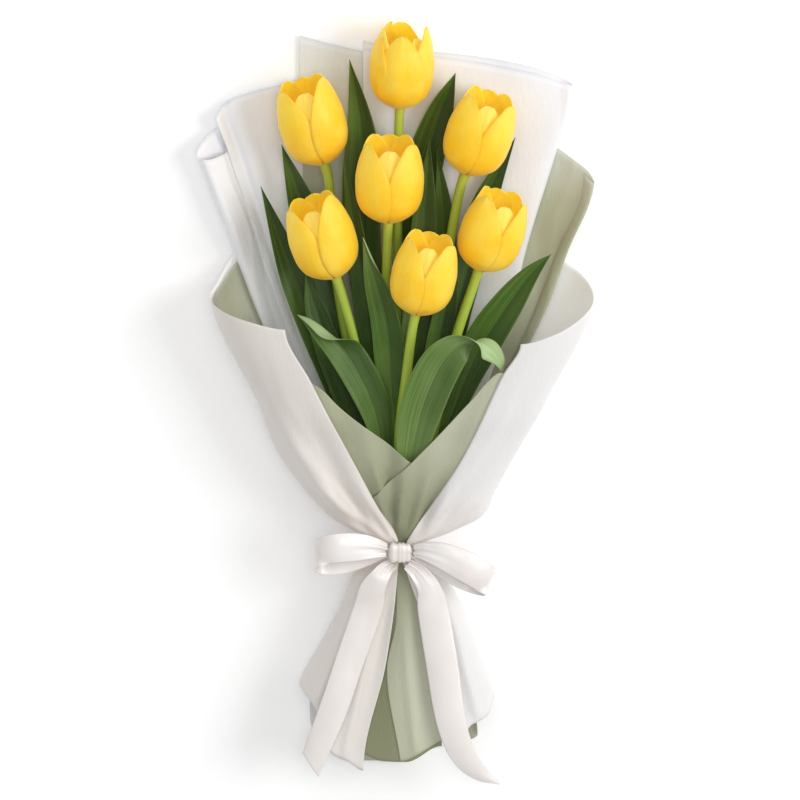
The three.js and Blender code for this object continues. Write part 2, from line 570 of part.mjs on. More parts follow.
// Loops and tails: stations [x, y, z] seen, half width, roll, from the knot outwards.
const LOOPS = {
  ribbon_loop_left: [[-9, -2.5, 25, 5, 0], [-20, -3, 30, 9, 0], [-38, -4, 33, 12.5, 0],
    [-51, -5, 31, 13.5, 0], [-55.5, -5.5, 26, 13.5, 0], [-51, -5.5, 21, 13, 0], [-38, -5, 19.6, 12, 0],
    [-20, -4, 19.9, 8, 0], [-9, -3, 21.4, 5, 0]],
  ribbon_loop_right: [[9.4, -2.5, 25, 5, 0], [20, -4, 30, 9, 0], [38, -9, 32, 12, 0], [54, -16, 29, 13, 0],
    [60, -19, 25, 13, 0], [55, -18, 21, 12.5, 0], [38, -11, 19.6, 11.5, 0], [20, -6, 20, 8, 0],
    [9.4, -3, 21.4, 5, 0]],
};
const TAILS = {
  ribbon_tail_left: [[-4.6, -10.6, 21, 4, 0], [-10.5, -24, 18.6, 8.5, 0], [-17, -49, 16.4, 10, 0],
    [-32.5, -90, 18.2, 10, 0], [-47.5, -127, 20.2, 10, 0], [-57, -152, 20.4, 10, 0]],
  ribbon_tail_right: [[4.6, -10.6, 21, 4, 0], [10, -24, 18.6, 8, 0], [17, -49, 16.4, 9.5, 0],
    [27, -90, 18, 10, 0], [38, -128, 19.6, 10, 0], [52, -150, 19, 9.5, 0], [64, -159, 15, 7, 0]],
};
const placedAt = (stations) =>
  stations.map(([x, y, z, half, roll]) => [...seen(x, y, z).toArray(), half, roll]);
Object.entries(LOOPS).forEach(([name, stations]) => add(name, blade(placedAt(stations), {
  thickness: RIBBON_THICKNESS, steps: 20, columns: [-1, 0, 1], across: new THREE.Vector3(0, 1, 0),
}), COLOURS.ribbon, 0.35));
Object.entries(TAILS).forEach(([name, stations]) => add(name, blade(placedAt(stations), {
  thickness: RIBBON_THICKNESS, steps: 12, columns: [-1, 0, 1],
}), COLOURS.ribbon, 0.35));

// The part's origin: the middle of its box, on the table.
const box = new THREE.Box3().setFromObject(group, true);
const middle = box.getCenter(new THREE.Vector3());
group.position.set(-middle.x, -middle.y, -box.min.z);

export default group;
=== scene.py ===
# Seven yellow tulips with their leaves, wrapped in white and sage green paper, tied with a satin
# ribbon and lying on their back on a table. Metres, in the frame of the part: +X to the bunch's
# right, +Y from the cut stems to the flowers, +Z up. Sizes in the tables are in millimetres.

import bpy
import math
import numpy as np
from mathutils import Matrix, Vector


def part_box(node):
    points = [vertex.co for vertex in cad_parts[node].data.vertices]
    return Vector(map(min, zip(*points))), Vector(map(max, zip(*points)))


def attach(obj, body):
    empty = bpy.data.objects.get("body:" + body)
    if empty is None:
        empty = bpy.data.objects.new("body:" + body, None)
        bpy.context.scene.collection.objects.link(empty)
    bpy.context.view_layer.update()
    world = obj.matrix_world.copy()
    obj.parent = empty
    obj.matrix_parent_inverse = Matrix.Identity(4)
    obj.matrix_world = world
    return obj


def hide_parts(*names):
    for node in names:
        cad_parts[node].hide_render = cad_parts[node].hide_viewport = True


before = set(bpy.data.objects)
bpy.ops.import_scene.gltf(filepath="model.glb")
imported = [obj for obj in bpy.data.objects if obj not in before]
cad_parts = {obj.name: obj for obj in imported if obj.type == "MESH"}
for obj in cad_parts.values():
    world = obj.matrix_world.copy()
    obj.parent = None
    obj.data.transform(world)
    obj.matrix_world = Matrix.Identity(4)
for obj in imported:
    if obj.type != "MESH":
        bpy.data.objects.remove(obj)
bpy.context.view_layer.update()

# ------------------------------------------------------------------ table top, light and view
# The bunch lies on a plain pale table top under a large soft light from its right, and is seen
# from above, from a little towards the flowers.
tie_low, tie_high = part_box("ribbon_band")
TIE = (tie_low + tie_high) / 2
VIEW_LEAN = math.radians(13)
VIEW_WIDTH = 0.544
VIEW_FROM = 4.0
MIDDLE_ABOVE_TIE = 0.1033
TABLE_SIDE = 8
SKY_LIGHT = 0.63
LAMPS = {  # its place, the side of its square and its power
    "lamp_right": ((1.9, 0.5, 1.7), 1.3, 31),
    "lamp_above": ((-0.3, 1.6, 2.4), 1.4, 9),
    "lamp_front": ((0.15, 0.4, 2.2), 0.4, 4.5),
}

looked_at = TIE + Vector((0, MIDDLE_ABOVE_TIE, 0))
camera = bpy.data.objects.new("camera", bpy.data.cameras.new("camera"))
camera.data.lens = camera.data.sensor_width * VIEW_FROM / VIEW_WIDTH
camera.location = looked_at + VIEW_FROM * Vector((0, math.sin(VIEW_LEAN), math.cos(VIEW_LEAN)))
camera.rotation_euler = (-VIEW_LEAN, 0, 0)
bpy.context.collection.objects.link(camera)
bpy.context.scene.camera = camera
bpy.context.scene.view_settings.view_transform = "Standard"


def paint(red, green, blue):
    """A colour told in the usual 0 to 255, as the shader wants it."""
    def plain(value):
        share = value / 255
        return share / 12.92 if share <= 0.04045 else ((share + 0.055) / 1.055) ** 2.4
    return (plain(red), plain(green), plain(blue), 1.0)


def new_material(name, **settings):
    """A material whose shader has these settings, the same all over."""
    material = bpy.data.materials.new(name)
    material.use_nodes = True
    shader = material.node_tree.nodes["Principled BSDF"]
    for socket, value in settings.items():
        shader.inputs[socket.replace("_", " ")].default_value = value
    return material


def add_node(material, kind, inputs=(), **settings):
    """A node with its settings made and its inputs set or wired."""
    made = material.node_tree.nodes.new("ShaderNode" + kind)
    for key, value in settings.items():
        setattr(made, key, value)
    for key, value in dict(inputs).items():
        if isinstance(value, bpy.types.NodeSocket):
            material.node_tree.links.new(value, made.inputs[key])
        else:
            made.inputs[key].default_value = value
    return made


def wire(material, socket, value):
    """Wire a value to one of the shader's own sockets."""
    shader = material.node_tree.nodes["Principled BSDF"]
    material.node_tree.links.new(value, shader.inputs[socket])


def colours(material, factor, steps):
    """A run of colours [place, colour] picked by a factor."""
    ramp = add_node(material, "ValToRGB", {0: factor})
    for place, _ in steps[2:]:
        ramp.color_ramp.elements.new(place)
    for element, (place, colour) in zip(ramp.color_ramp.elements, steps):
        element.position = place
        element.color = colour
    return ramp.outputs[0]


def mottle(material, scale, stretch=(1, 1, 1), by="Object", detail=3.0, rough=0.5):
    """A soft uneven value from 0 to 1, drawn out along an axis where it is stretched."""
    place = add_node(material, "TexCoord").outputs[by]
    spread = add_node(material, "Mapping", {"Vector": place, "Scale": stretch}).outputs[0]
    return add_node(material, "TexNoise", {
        "Vector": spread, "Scale": scale, "Detail": detail, "Roughness": rough}).outputs[0]


def mottled(material, scale, steps):
    """Give a material plain mottled colours [place, colour]."""
    wire(material, "Base Color", colours(material, mottle(material, scale), steps))
    return material


table_finish = mottled(new_material("table_paint", Roughness=0.75, Specular_IOR_Level=0.2,
                                    Emission_Color=(1, 1, 1, 1), Emission_Strength=0.06),
                       3.0, [(0.0, paint(253, 253, 253)), (1.0, paint(254, 254, 254))])
bpy.ops.mesh.primitive_plane_add(size=TABLE_SIDE, location=(0, 0, 0))
table_top = bpy.context.object
table_top.name = "table_top"
table_top.data.materials.append(table_finish)

sky = bpy.data.worlds.new("sky")
sky.use_nodes = True
sky.node_tree.nodes["Background"].inputs["Color"].default_value = (1.0, 1.0, 1.0, 1.0)
sky.node_tree.nodes["Background"].inputs["Strength"].default_value = SKY_LIGHT
bpy.context.scene.world = sky
for name, (place, side, power) in LAMPS.items():
    lamp = bpy.data.objects.new(name, bpy.data.lights.new(name, "AREA"))
    lamp.data.size = side
    lamp.data.energy = power
    lamp.location = place
    lamp.rotation_euler = (looked_at - lamp.location).to_track_quat("-Z", "Y").to_euler()
    bpy.context.collection.objects.link(lamp)

# ------------------------------------------------------------------ stems
# Seven round fleshy stems, bunched together at the tie and spread out to their flowers, with
# pale freshly cut ends inside the skirt of the paper.
STEM_RADIUS = 3.5
STEM_PITCH = 7.7
STEM_RINGS = 90
STEM_SIDES = 18
CUT_END = -132
CUT_SLANT = 3
CUT_SPREAD = (1.5, 1.3)
CUT_ROUNDING = 0.5
SKIRT_SPREAD = 1.05
SKIRT_Y = -30
STRAIGHT_UNDER_FLOWER = 14
COLLAR = 0.5
BLOOM_RISE = math.radians(6)
HEX = math.sqrt(3) / 2
MM = 0.001
# Where each flower begins, how it leans and is turned, which edges of its petals lie on top, its
# size, and its stem's slot at the tie and way up from there. Places are as seen, with their height.
TULIPS = [
    dict(base=(0, 300, -8.8), lean=3, turn=56, edge=-1, slot=(0, -1), size=0.95,
         way=[(-1.3, 150, -13), (-1.4, 255, -15.5)]),
    dict(base=(-52, 263, -7), lean=-15, turn=0, edge=1, slot=(-HEX, -0.5), size=1,
         way=[(-24, 80, -5.5), (-41, 168, -9), (-46, 212, -10)]),
    dict(base=(45, 256, -5), lean=18, turn=3, edge=-1, slot=(HEX, -0.5), size=1,
         way=[(17, 85, -4.5), (28, 170, -6)]),
    dict(base=(-8, 223, 10), lean=1.5, turn=0, edge=-1, slot=(0, 0), size=1.02,
         way=[(-5, 80, 3.5), (-9.5, 155, 7)]),
    dict(base=(-44, 186, 15.5), lean=-18, turn=-5, edge=1, slot=(-HEX, 0.5), size=1,
         way=[(-16, 62, 5.6), (-27, 124, 9.5)]),
    dict(base=(54, 191, 9.5), lean=18, turn=16, edge=-1, slot=(HEX, 0.5), size=0.97,
         way=[(21, 70, 5.4), (38, 143, 7.5)]),
    dict(base=(11, 161, 27), lean=11, turn=0, edge=-1, slot=(0, 1), size=0.97,
         way=[(-1.2, 70, 16), (4, 115, 21.5)]),
]


def seen(x, y, z):
    """A place by what is seen from above, x and y from the tie, and its true height z."""
    return np.array([x, (y + z * math.sin(VIEW_LEAN)) / math.cos(VIEW_LEAN), z])


def unit(vectors):
    return vectors / np.linalg.norm(vectors, axis=-1, keepdims=True)


def hermite(start, end, start_slope, end_slope, f):
    rise = 3 * f ** 2 - 2 * f ** 3
    return (start * (1 - rise) + end * rise
            + start_slope * (f ** 3 - 2 * f ** 2 + f) + end_slope * (f ** 3 - f ** 2))


def flower_axis(tulip):
    lean = math.radians(tulip["lean"])
    return np.array([math.sin(lean) * math.cos(BLOOM_RISE), math.cos(lean) * math.cos(BLOOM_RISE),
                     math.sin(BLOOM_RISE)])


def smooth_line(points, count):
    """Evenly spaced points on a smooth line through the given ones."""
    points = [np.array(p, float) for p in points]
    points = [2 * points[0] - points[1], *points, 2 * points[-1] - points[-2]]
    fine = []
    for a, b, c, d in zip(points, points[1:], points[2:], points[3:]):
        ab, bc, cd = (math.sqrt(np.linalg.norm(q - p)) for p, q in ((a, b), (b, c), (c, d)))
        leave = ((b - a) / ab - (c - a) / (ab + bc) + (c - b) / bc) * bc
        arrive = ((c - b) / bc - (d - b) / (bc + cd) + (d - c) / cd) * bc
        fine += [hermite(b, c, leave, arrive, f) for f in np.arange(0, 1, 0.05)]
    fine = np.array([*fine, points[-2]])
    way = np.concatenate([[0], np.cumsum(np.linalg.norm(np.diff(fine, axis=0), axis=1))])
    even = np.linspace(0, way[-1], count)
    return np.stack([np.interp(even, way, fine[:, k]) for k in range(3)], axis=1)


def stem_route(tulip):
    """A stem's way from its cut end, through its slot at the tie, to its flower."""
    slot_across, slot_up = tulip["slot"]
    x, z = slot_across * STEM_PITCH, slot_up * STEM_PITCH
    base = seen(*tulip["base"])
    return [(x * CUT_SPREAD[0], CUT_END - slot_up * CUT_SLANT, z * CUT_SPREAD[1]),
            (x * SKIRT_SPREAD, SKIRT_Y, z * SKIRT_SPREAD), (x, 0, z),
            *[seen(*place) for place in tulip["way"]],
            base - STRAIGHT_UNDER_FLOWER * flower_axis(tulip), base]


def make_piece(name, points, faces, marks, which, materials, finish_slot, stands_for=()):
    """A smooth piece at its place in the part. Points are in millimetres from the tie, marks give
    each face corner its place on the piece, across and along, and which is each face's material."""
    mesh = bpy.data.meshes.new(name)
    mesh.from_pydata(np.asarray(points) * MM + np.array(TIE), [], faces)
    mesh.uv_layers.new(name="lay").data.foreach_set("uv", np.asarray(marks, np.float32).ravel())
    for material in materials:
        mesh.materials.append(material)
    mesh.polygons.foreach_set("material_index", np.minimum(which, len(materials) - 1))
    mesh.polygons.foreach_set("use_smooth", [True] * len(faces))
    mesh.update()
    made = bpy.data.objects.new(name, mesh)
    bpy.context.collection.objects.link(made)
    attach(made, "root")
    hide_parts(*stands_for)
    return made


def net(rows, columns, rows_round=False, columns_round=False):
    """Faces between the points of a grid, which may close round on itself, and the place of each
    face corner across and along the grid."""
    steps, steps_across = rows - (not rows_round), columns - (not columns_round)
    faces, marks = [], []
    for i in range(steps):
        for j in range(steps_across):
            row, next_row, next_column = i * columns, (i + 1) % rows * columns, (j + 1) % columns
            faces.append((row + j, row + next_column, next_row + next_column, next_row + j))
            left, right, low, high = j / steps_across, (j + 1) / steps_across, i / steps, (i + 1) / steps
            marks += [(left, low), (right, low), (right, high), (left, high)]
    return faces, marks


def rod(centres, radii, sides):
    """The shape of a round rod along some centres, closed at both ends."""
    ahead = unit(np.gradient(centres, axis=0))
    across = unit(np.cross(ahead, (0, 0, 1.0)))
    up = np.cross(across, ahead)
    turns = np.arange(sides)[None, :, None] / sides * 2 * math.pi
    rings = centres[:, None] + radii[:, None, None] * (
        np.cos(turns) * across[:, None] + np.sin(turns) * up[:, None])
    faces, marks = net(len(centres), sides, columns_round=True)
    last = (len(centres) - 1) * sides
    faces += [tuple(range(sides))[::-1], tuple(range(last, last + sides))]
    marks += [(0.5, 0.0)] * sides + [(0.5, 1.0)] * sides
    return rings.reshape(-1, 3), faces, marks, [0] * len(faces)


def reckon(material, how, first, second=0.0):
    """A sum, product or other reckoning of two values."""
    return add_node(material, "Math", {0: first, 1: second}, operation=how).outputs[0]


def blend(material, factor, first, second, most=1.0):
    """Two colours mixed by a factor, the second up to a share of at most this much."""
    if most != 1.0:
        factor = reckon(material, "MULTIPLY", factor, most)
    mix = add_node(material, "Mix", {0: factor, 6: first, 7: second}, data_type="RGBA")
    return mix.outputs[2]


def relief(material, height, depth):
    """Fine relief on the surface, by height."""
    bump = add_node(material, "Bump", {"Height": height, "Strength": 1.0, "Distance": depth})
    wire(material, "Normal", bump.outputs[0])


def place_on(material, by="UV"):
    """A point's place on its piece: 0 is how far across, 1 how far along."""
    return add_node(material, "SeparateXYZ", {0: add_node(material, "TexCoord").outputs[by]}).outputs


stem_skin = new_material("stem_skin", Roughness=0.42, Specular_IOR_Level=0.45, Subsurface_Weight=0.12,
                         Subsurface_Radius=(0.6, 1.0, 0.2), Subsurface_Scale=0.002)
stem_green = colours(stem_skin, place_on(stem_skin)[1], [
    (0.0, paint(190, 200, 132)), (0.02, paint(132, 162, 60)), (0.45, paint(144, 172, 54)),
    (0.8, paint(170, 196, 64)), (0.97, paint(186, 204, 74)), (1.0, paint(208, 208, 78))])
stem_streaks = mottle(stem_skin, 5.0, (9, 1.6, 1), by="UV", detail=5)
wire(stem_skin, "Base Color", blend(stem_skin, stem_streaks, stem_green, paint(100, 134, 38), most=0.55))
relief(stem_skin, stem_streaks, 0.0002)
cut_flesh = mottled(new_material("cut_stem_flesh", Roughness=0.35), 900.0, [
    (0.3, paint(206, 214, 160)), (0.7, paint(170, 186, 110))])

for number, tulip in enumerate(TULIPS, 1):
    share = np.linspace(0, 1, STEM_RINGS)
    uneven = 0.93 + 0.02 * np.sin(share * 23 + number) + 0.03 * np.sin(share * 9 + 2 * number)
    radii = STEM_RADIUS * uneven + COLLAR * np.clip((share - 0.975) / 0.025, 0, 1)
    radii[0] -= CUT_ROUNDING
    points, faces, marks, which = rod(smooth_line(stem_route(tulip), STEM_RINGS), radii, STEM_SIDES)
    which[-2] = 1
    make_piece(f"stem_{number}", points, faces, marks, which, [stem_skin, cut_flesh], "stem",
               [f"tulip_{number}_stem"])

# ------------------------------------------------------------------ outer petals
# Three broad outer petals close round each flower. Each is one thick waxy petal with a faint
# keel, fine veins from its base to its tip, and one edge tucked under the next petal.
BLOOM_HEIGHT = 53
BLOOM_RADIUS = 22.5
PETAL_THICKNESS = 0.55
PETAL_SWIRL = 0.55
PETAL_KEEL = 0.3
PETAL_ROWS = 36
PETAL_COLUMNS = 27
PROFILE = [  # share along the petal: radius and height as shares of the flower's
    (0, 4.3 / BLOOM_RADIUS, -0.045), (0.12, 0.52, 0.02), (0.26, 0.85, 0.15), (0.42, 0.98, 0.33),
    (0.58, 1, 0.52), (0.74, 0.94, 0.71), (0.88, 0.83, 0.88), (1, 0.71, 1),
]
# Share along the petal: half its width, in degrees round the flower.
OUTER_WIDTHS = [(0, 46), (0.12, 57), (0.26, 64), (0.42, 66.5), (0.58, 63), (0.74, 54), (0.86, 41),
                (0.94, 27), (0.98, 15), (1, 4)]
# Each petal's letter in the part and the way it faces, in degrees from the flower's front.
PETALS = {"left": ("a", -60), "right": ("b", 60), "back": ("c", 180)}
TALLER_FLOWERS = {1: 1.025, 2: 1.03, 3: 1.01}
LONGER_PETALS = {(2, "right"): 1.05, (5, "right"): 1.05}
# The topmost flower is opening: how much wider, further round, longer, closed in and fuller each
# of its petals is.
OPENING = {"left": (0.82, 0, 0.98, 2.0, 1.025), "right": (1.1, -30, 1.06, 0.2, 1),
           "back": (1.2, 20, 1.09, 6.5, 1)}
OPENING_EDGES = dict(wave=0.35, ribs=0.3, edge_dip=0.4)
CLOSED_EDGES = dict(wave=0.35, ribs=0.1, edge_dip=1.3)


def along(table, place):
    """The values of a table [place, values...] at some places, smooth and never past a row's own."""
    rows = np.array(table, float)
    places, values = rows[:, 0], rows[:, 1:]
    steps = np.diff(places)
    rates = np.diff(values, axis=0) / steps[:, None]
    slopes = np.zeros_like(values)
    before, after = rates[:-1], rates[1:]
    same = before * after > 0
    slopes[1:-1][same] = 2 * before[same] * after[same] / (before[same] + after[same])
    at = np.clip(np.asarray(place, float), places[0], places[-1])
    i = np.clip(np.searchsorted(places, at, side="right") - 1, 0, len(steps) - 1)
    step = steps[i][..., None]
    f = (at - places[i])[..., None] / step
    between_rows = hermite(values[i], values[i + 1], slopes[i] * step, slopes[i + 1] * step, f)
    return np.moveaxis(between_rows, -1, 0)


def shell(middle, thickness, thin_edge=0.35):
    """The shape of a thin closed sheet about a grid of points, thinner at its edges. Its front, of
    the first material, is the side that the grid turns counter-clockwise."""
    rows, columns = middle.shape[:2]
    normal = unit(np.cross(np.gradient(middle, axis=1), np.gradient(middle, axis=0)))
    half = np.full((rows, columns, 1), thickness / 2)
    half[[0, -1]] *= thin_edge
    half[1:-1, [0, -1]] *= thin_edge
    points = np.concatenate([middle + normal * half, middle - normal * half]).reshape(-1, 3)
    count = rows * columns
    front, _ = net(rows, columns)
    back = [(count + a, count + d, count + c, count + b) for a, b, c, d in front]
    place = np.arange(count).reshape(rows, columns)
    rim = np.concatenate([place[0, :-1], place[:-1, -1], place[-1, :0:-1], place[:0:-1, 0]]).tolist()
    edge = [(b, a, count + a, count + b) for a, b in zip(rim, rim[1:] + rim[:1])]
    faces = front + back + edge
    corners = np.concatenate([np.ravel(part) for part in (front, back, edge)]) % count
    marks = np.stack([corners % columns / (columns - 1), corners // columns / (rows - 1)], axis=1)
    return points, faces, marks, [0] * len(front) + [1] * len(back) + [0] * len(edge)


def petal_grid(facing, widths, edge, inset=0.0, top=1.0, closing=0.0, wave=0.0, ribs=0.0, edge_dip=0.35):
    """The middle of a petal in its flower's frame: x right, y along the flower and z to its front.
    One edge lies over the next petal, and the petal may close in, wave and rib towards its top."""
    share = 1 - (1 - np.linspace(0, 1, PETAL_ROWS)[:, None]) ** 1.5
    c = np.linspace(-1, 1, PETAL_COLUMNS)[None, :]
    half = np.radians(along(widths, share[:, 0])[0])[:, None]
    turn = math.radians(facing) + c * half
    radius, height = along(PROFILE, share * top * (1 - 0.012 * c ** 2))
    swirl = edge * PETAL_SWIRL * np.clip(share / 0.18, 0, 1) * c
    high = np.clip((share - 0.62) / 0.38, 0, 1)
    keel = PETAL_KEEL * np.exp(-(c / 0.16) ** 2) * np.clip(share * 2, 0, 1)
    ribbing = ribs * np.sin(c * 8.0 + facing) * np.sin(math.pi * np.clip(share * 1.1, 0, 1))
    waving = wave * high ** 2 * np.sin(c * 5 + facing * 0.7)
    curl = -edge_dip * np.abs(c) ** 4 * np.sin(math.pi * share)
    r = radius * BLOOM_RADIUS - inset - swirl + keel + ribbing + waving + curl - closing * high ** 2
    return np.stack([r * np.sin(turn), height * BLOOM_HEIGHT + 0 * turn, r * np.cos(turn)], axis=-1)


def in_flower(tulip, shape, longer=1.0):
    """A shape made in its flower's frame, made longer along the flower and set at its place."""
    points, *rest = shape
    axis = flower_axis(tulip)
    right = unit(np.cross(axis, (0, 0, 1.0)))
    ways = np.stack([right, axis, np.cross(right, axis)], axis=1)
    cos, sin = math.cos(math.radians(tulip["turn"])), math.sin(math.radians(tulip["turn"]))
    about_axis = np.array([[cos, 0, sin], [0, 1, 0], [-sin, 0, cos]])
    ways = ways @ about_axis * tulip["size"]
    return (points * (1, longer, 1) @ ways.T + seen(*tulip["base"]), *rest)


def amounts(material, factor, steps):
    """A run of amounts [place, amount] picked by a factor."""
    return colours(material, factor, [(place, (amount, amount, amount, 1.0)) for place, amount in steps])


def near_edge(material, across, sharpness):
    """From 0 along the middle to 1 at both edges, the sharper the closer to the edges."""
    off_middle = reckon(material, "ABSOLUTE", reckon(material, "SUBTRACT", across, 0.5))
    return reckon(material, "POWER", reckon(material, "MULTIPLY", off_middle, 2.0), sharpness)


def petal_skin(name, base, low, middle, tip, rim, glow):
    """Waxy petal skin: deeper at the base, paler to the tip, with fine veins lengthwise, and a rim tint
    towards both edges, which on the outsides of the outer petals is a deeper painted shade where the
    petals meet. A painted glow of the tip colour stands in for light that comes through the thin petal."""
    skin = new_material(name, Roughness=0.42, Specular_IOR_Level=0.35, Subsurface_Weight=0.4,
                        Subsurface_Radius=(1.0, 0.6, 0.12), Subsurface_Scale=0.004,
                        Sheen_Weight=0.1, Sheen_Roughness=0.4, Emission_Color=tip, Emission_Strength=glow)
    spot = place_on(skin)
    body = colours(skin, spot[1], [(0.0, base), (0.14, low), (0.5, middle), (0.95, tip)])
    # Towards both edges the rim tint; on the outer petals' outsides it is painted shade in the seams.
    body = blend(skin, near_edge(skin, spot[0], 4.0), body, rim, most=0.6)
    veins = mottle(skin, 9.0, (5.0, 0.55, 1.0), by="UV", detail=6, rough=0.6)
    body = blend(skin, amounts(skin, veins, [(0.36, 0), (0.7, 0.515)]), body, low)
    clouds = mottle(skin, 60.0, detail=2)
    body = blend(skin, amounts(skin, clouds, [(0.42, 0), (0.7, 0.456)]), body, tip)
    wire(skin, "Base Color", body)
    relief(skin, veins, 0.0003)
    return skin


# The last number of each is the strength of its painted glow.
petal_outside = petal_skin("petal_outside", paint(226, 184, 26), paint(246, 184, 10), paint(254, 206, 42),
                           paint(255, 220, 90), paint(244, 178, 10), 0.06)
petal_inside = petal_skin("petal_inside", paint(250, 188, 14), paint(254, 200, 24), paint(255, 210, 44),
                          paint(255, 220, 72), paint(255, 226, 96), 0.13)

for number, tulip in enumerate(TULIPS, 1):
    for side, (letter, facing) in PETALS.items():
        if number == 1:
            (wider, further, longer, closing, fuller), edges = OPENING[side], OPENING_EDGES
        else:
            wider, further, longer, closing, fuller = 1, 0, LONGER_PETALS.get((number, side), 1), 0, 1
            edges = CLOSED_EDGES
        widths = [(share, half * wider) for share, half in OUTER_WIDTHS]
        grid = petal_grid(facing + further, widths, tulip["edge"], closing=closing, **edges)
        petal = shell(grid * (fuller, 1, fuller), PETAL_THICKNESS)
        petal = in_flower(tulip, petal, TALLER_FLOWERS.get(number, 1) * longer)
        make_piece(f"tulip_{number}_petal_{side}", *petal, [petal_outside, petal_inside], "outer_petal",
                   [f"tulip_{number}_outer_petal_{letter}"])

# ------------------------------------------------------------------ inner petals
# Inside are three narrower petals of the same kind, which close a little over the middle, so that
# only their pale ribbed tips show.
INNER_WIDTHS = [(0, 50), (0.2, 58), (0.45, 61), (0.65, 58), (0.8, 49), (0.88, 39), (0.95, 27),
                (0.985, 16), (1, 5)]
FRONT_WIDTHS = [(0, 50), (0.2, 56), (0.45, 54), (0.65, 46), (0.8, 38), (0.9, 33), (0.96, 28), (1, 20)]
INNER_SWIRL = 0.4
SIDE_SHAPE = dict(inset=1.8, closing=-1.2, wave=0.4, ribs=0.25)
FRONT_SHAPE = dict(inset=2.8, top=0.92, closing=4.0, wave=0.3, ribs=0.8)
INNER_PETALS = {  # the way it faces, how far its tip stands out and its shape
    "front": (0, 0, FRONT_WIDTHS, FRONT_SHAPE),
    "right": (132, 1.6, INNER_WIDTHS, SIDE_SHAPE),
    "left": (-132, 1.6, INNER_WIDTHS, SIDE_SHAPE),
}
INNER_BASE_RISE = 0.9
inner_outside = petal_skin("inner_petal_outside", paint(244, 184, 14), paint(250, 194, 20),
                           paint(255, 212, 56), paint(255, 226, 112), paint(255, 220, 90), 0.1)

for number, tulip in enumerate(TULIPS, 1):
    for side, (facing, tip_rise, widths, form) in INNER_PETALS.items():
        grid = petal_grid(facing, widths, tulip["edge"] * INNER_SWIRL, **form)
        share = np.linspace(0, 1, PETAL_ROWS)[:, None]
        grid[..., 1] += tip_rise * share ** 4 + INNER_BASE_RISE * (1 - share) ** 4
        petal = in_flower(tulip, shell(grid, PETAL_THICKNESS), TALLER_FLOWERS.get(number, 1))
        make_piece(f"tulip_{number}_inside_{side}", *petal, [inner_outside, petal_inside], "inner_petal",
                   [f"tulip_{number}_inner_petals"])

# ------------------------------------------------------------------ pistils and stamens
# In the middle of each flower stand a green pistil and six stamens, each a thin stalk with a dark
# anther of pollen at its top. They grow from the flower's base and barely show between the petals.
PISTIL = [  # up, radius
    (2.4, 1.8), (6, 2.8), (12, 3.1), (18, 2.7), (21, 2.6), (23, 4.0), (24.5, 2.6),
]
STAMEN = [  # out from the axis, up, radius
    (3.6, 2.6, 0.8), (5.4, 6, 0.7), (6.6, 11, 0.6), (7.2, 14, 0.6), (7.6, 17, 1.5), (8, 22, 1.7),
    (8.2, 26, 1.3), (8.2, 27, 0.5),
]
PISTIL_SIDES = 18
STAMEN_SIDES = 10
STAMENS = 6
STAMEN_TURN = 20
STALK_RINGS = 3
pistil_skin = mottled(new_material("pistil_skin", Roughness=0.5), 300.0, [
    (0.3, paint(176, 188, 84)), (0.7, paint(206, 208, 120))])
pollen = mottled(new_material("pollen", Roughness=0.9), 2500.0, [
    (0.3, paint(70, 48, 18)), (0.7, paint(128, 92, 30))])

for number, tulip in enumerate(TULIPS, 1):
    ups, radii = np.array(PISTIL).T
    centres = np.stack([0 * ups, ups, 0 * ups], axis=1)
    make_piece(f"tulip_{number}_pistil", *in_flower(tulip, rod(centres, radii, PISTIL_SIDES)),
               [pistil_skin], "inner_petal")
    for k in range(STAMENS):
        turn = math.radians(360 / STAMENS * k + STAMEN_TURN)
        outs, ups, radii = np.array(STAMEN).T
        centres = np.stack([outs * math.sin(turn), ups, outs * math.cos(turn)], axis=1)
        points, faces, marks, which = rod(centres, radii, STAMEN_SIDES)
        which[STALK_RINGS * STAMEN_SIDES:-2] = [1] * (len(which) - 2 - STALK_RINGS * STAMEN_SIDES)
        which[-1] = 1
        make_piece(f"tulip_{number}_stamen_{k + 1}", *in_flower(tulip, (points, faces, marks, which)),
                   [pistil_skin, pollen], "inner_petal")

# ------------------------------------------------------------------ leaves
# Long smooth tulip leaves, two to a stem: channelled along the middle, with fine veins from base
# to tip, a thin pale rim, a darker glossy face and a paler bloomed back.
LEAF_THICKNESS = 0.7
LEAF_CHANNEL = 0.27
LEAF_ROWS = 64
LEAF_COLUMNS = 17
LEAST_HALF_WIDTH = 0.12
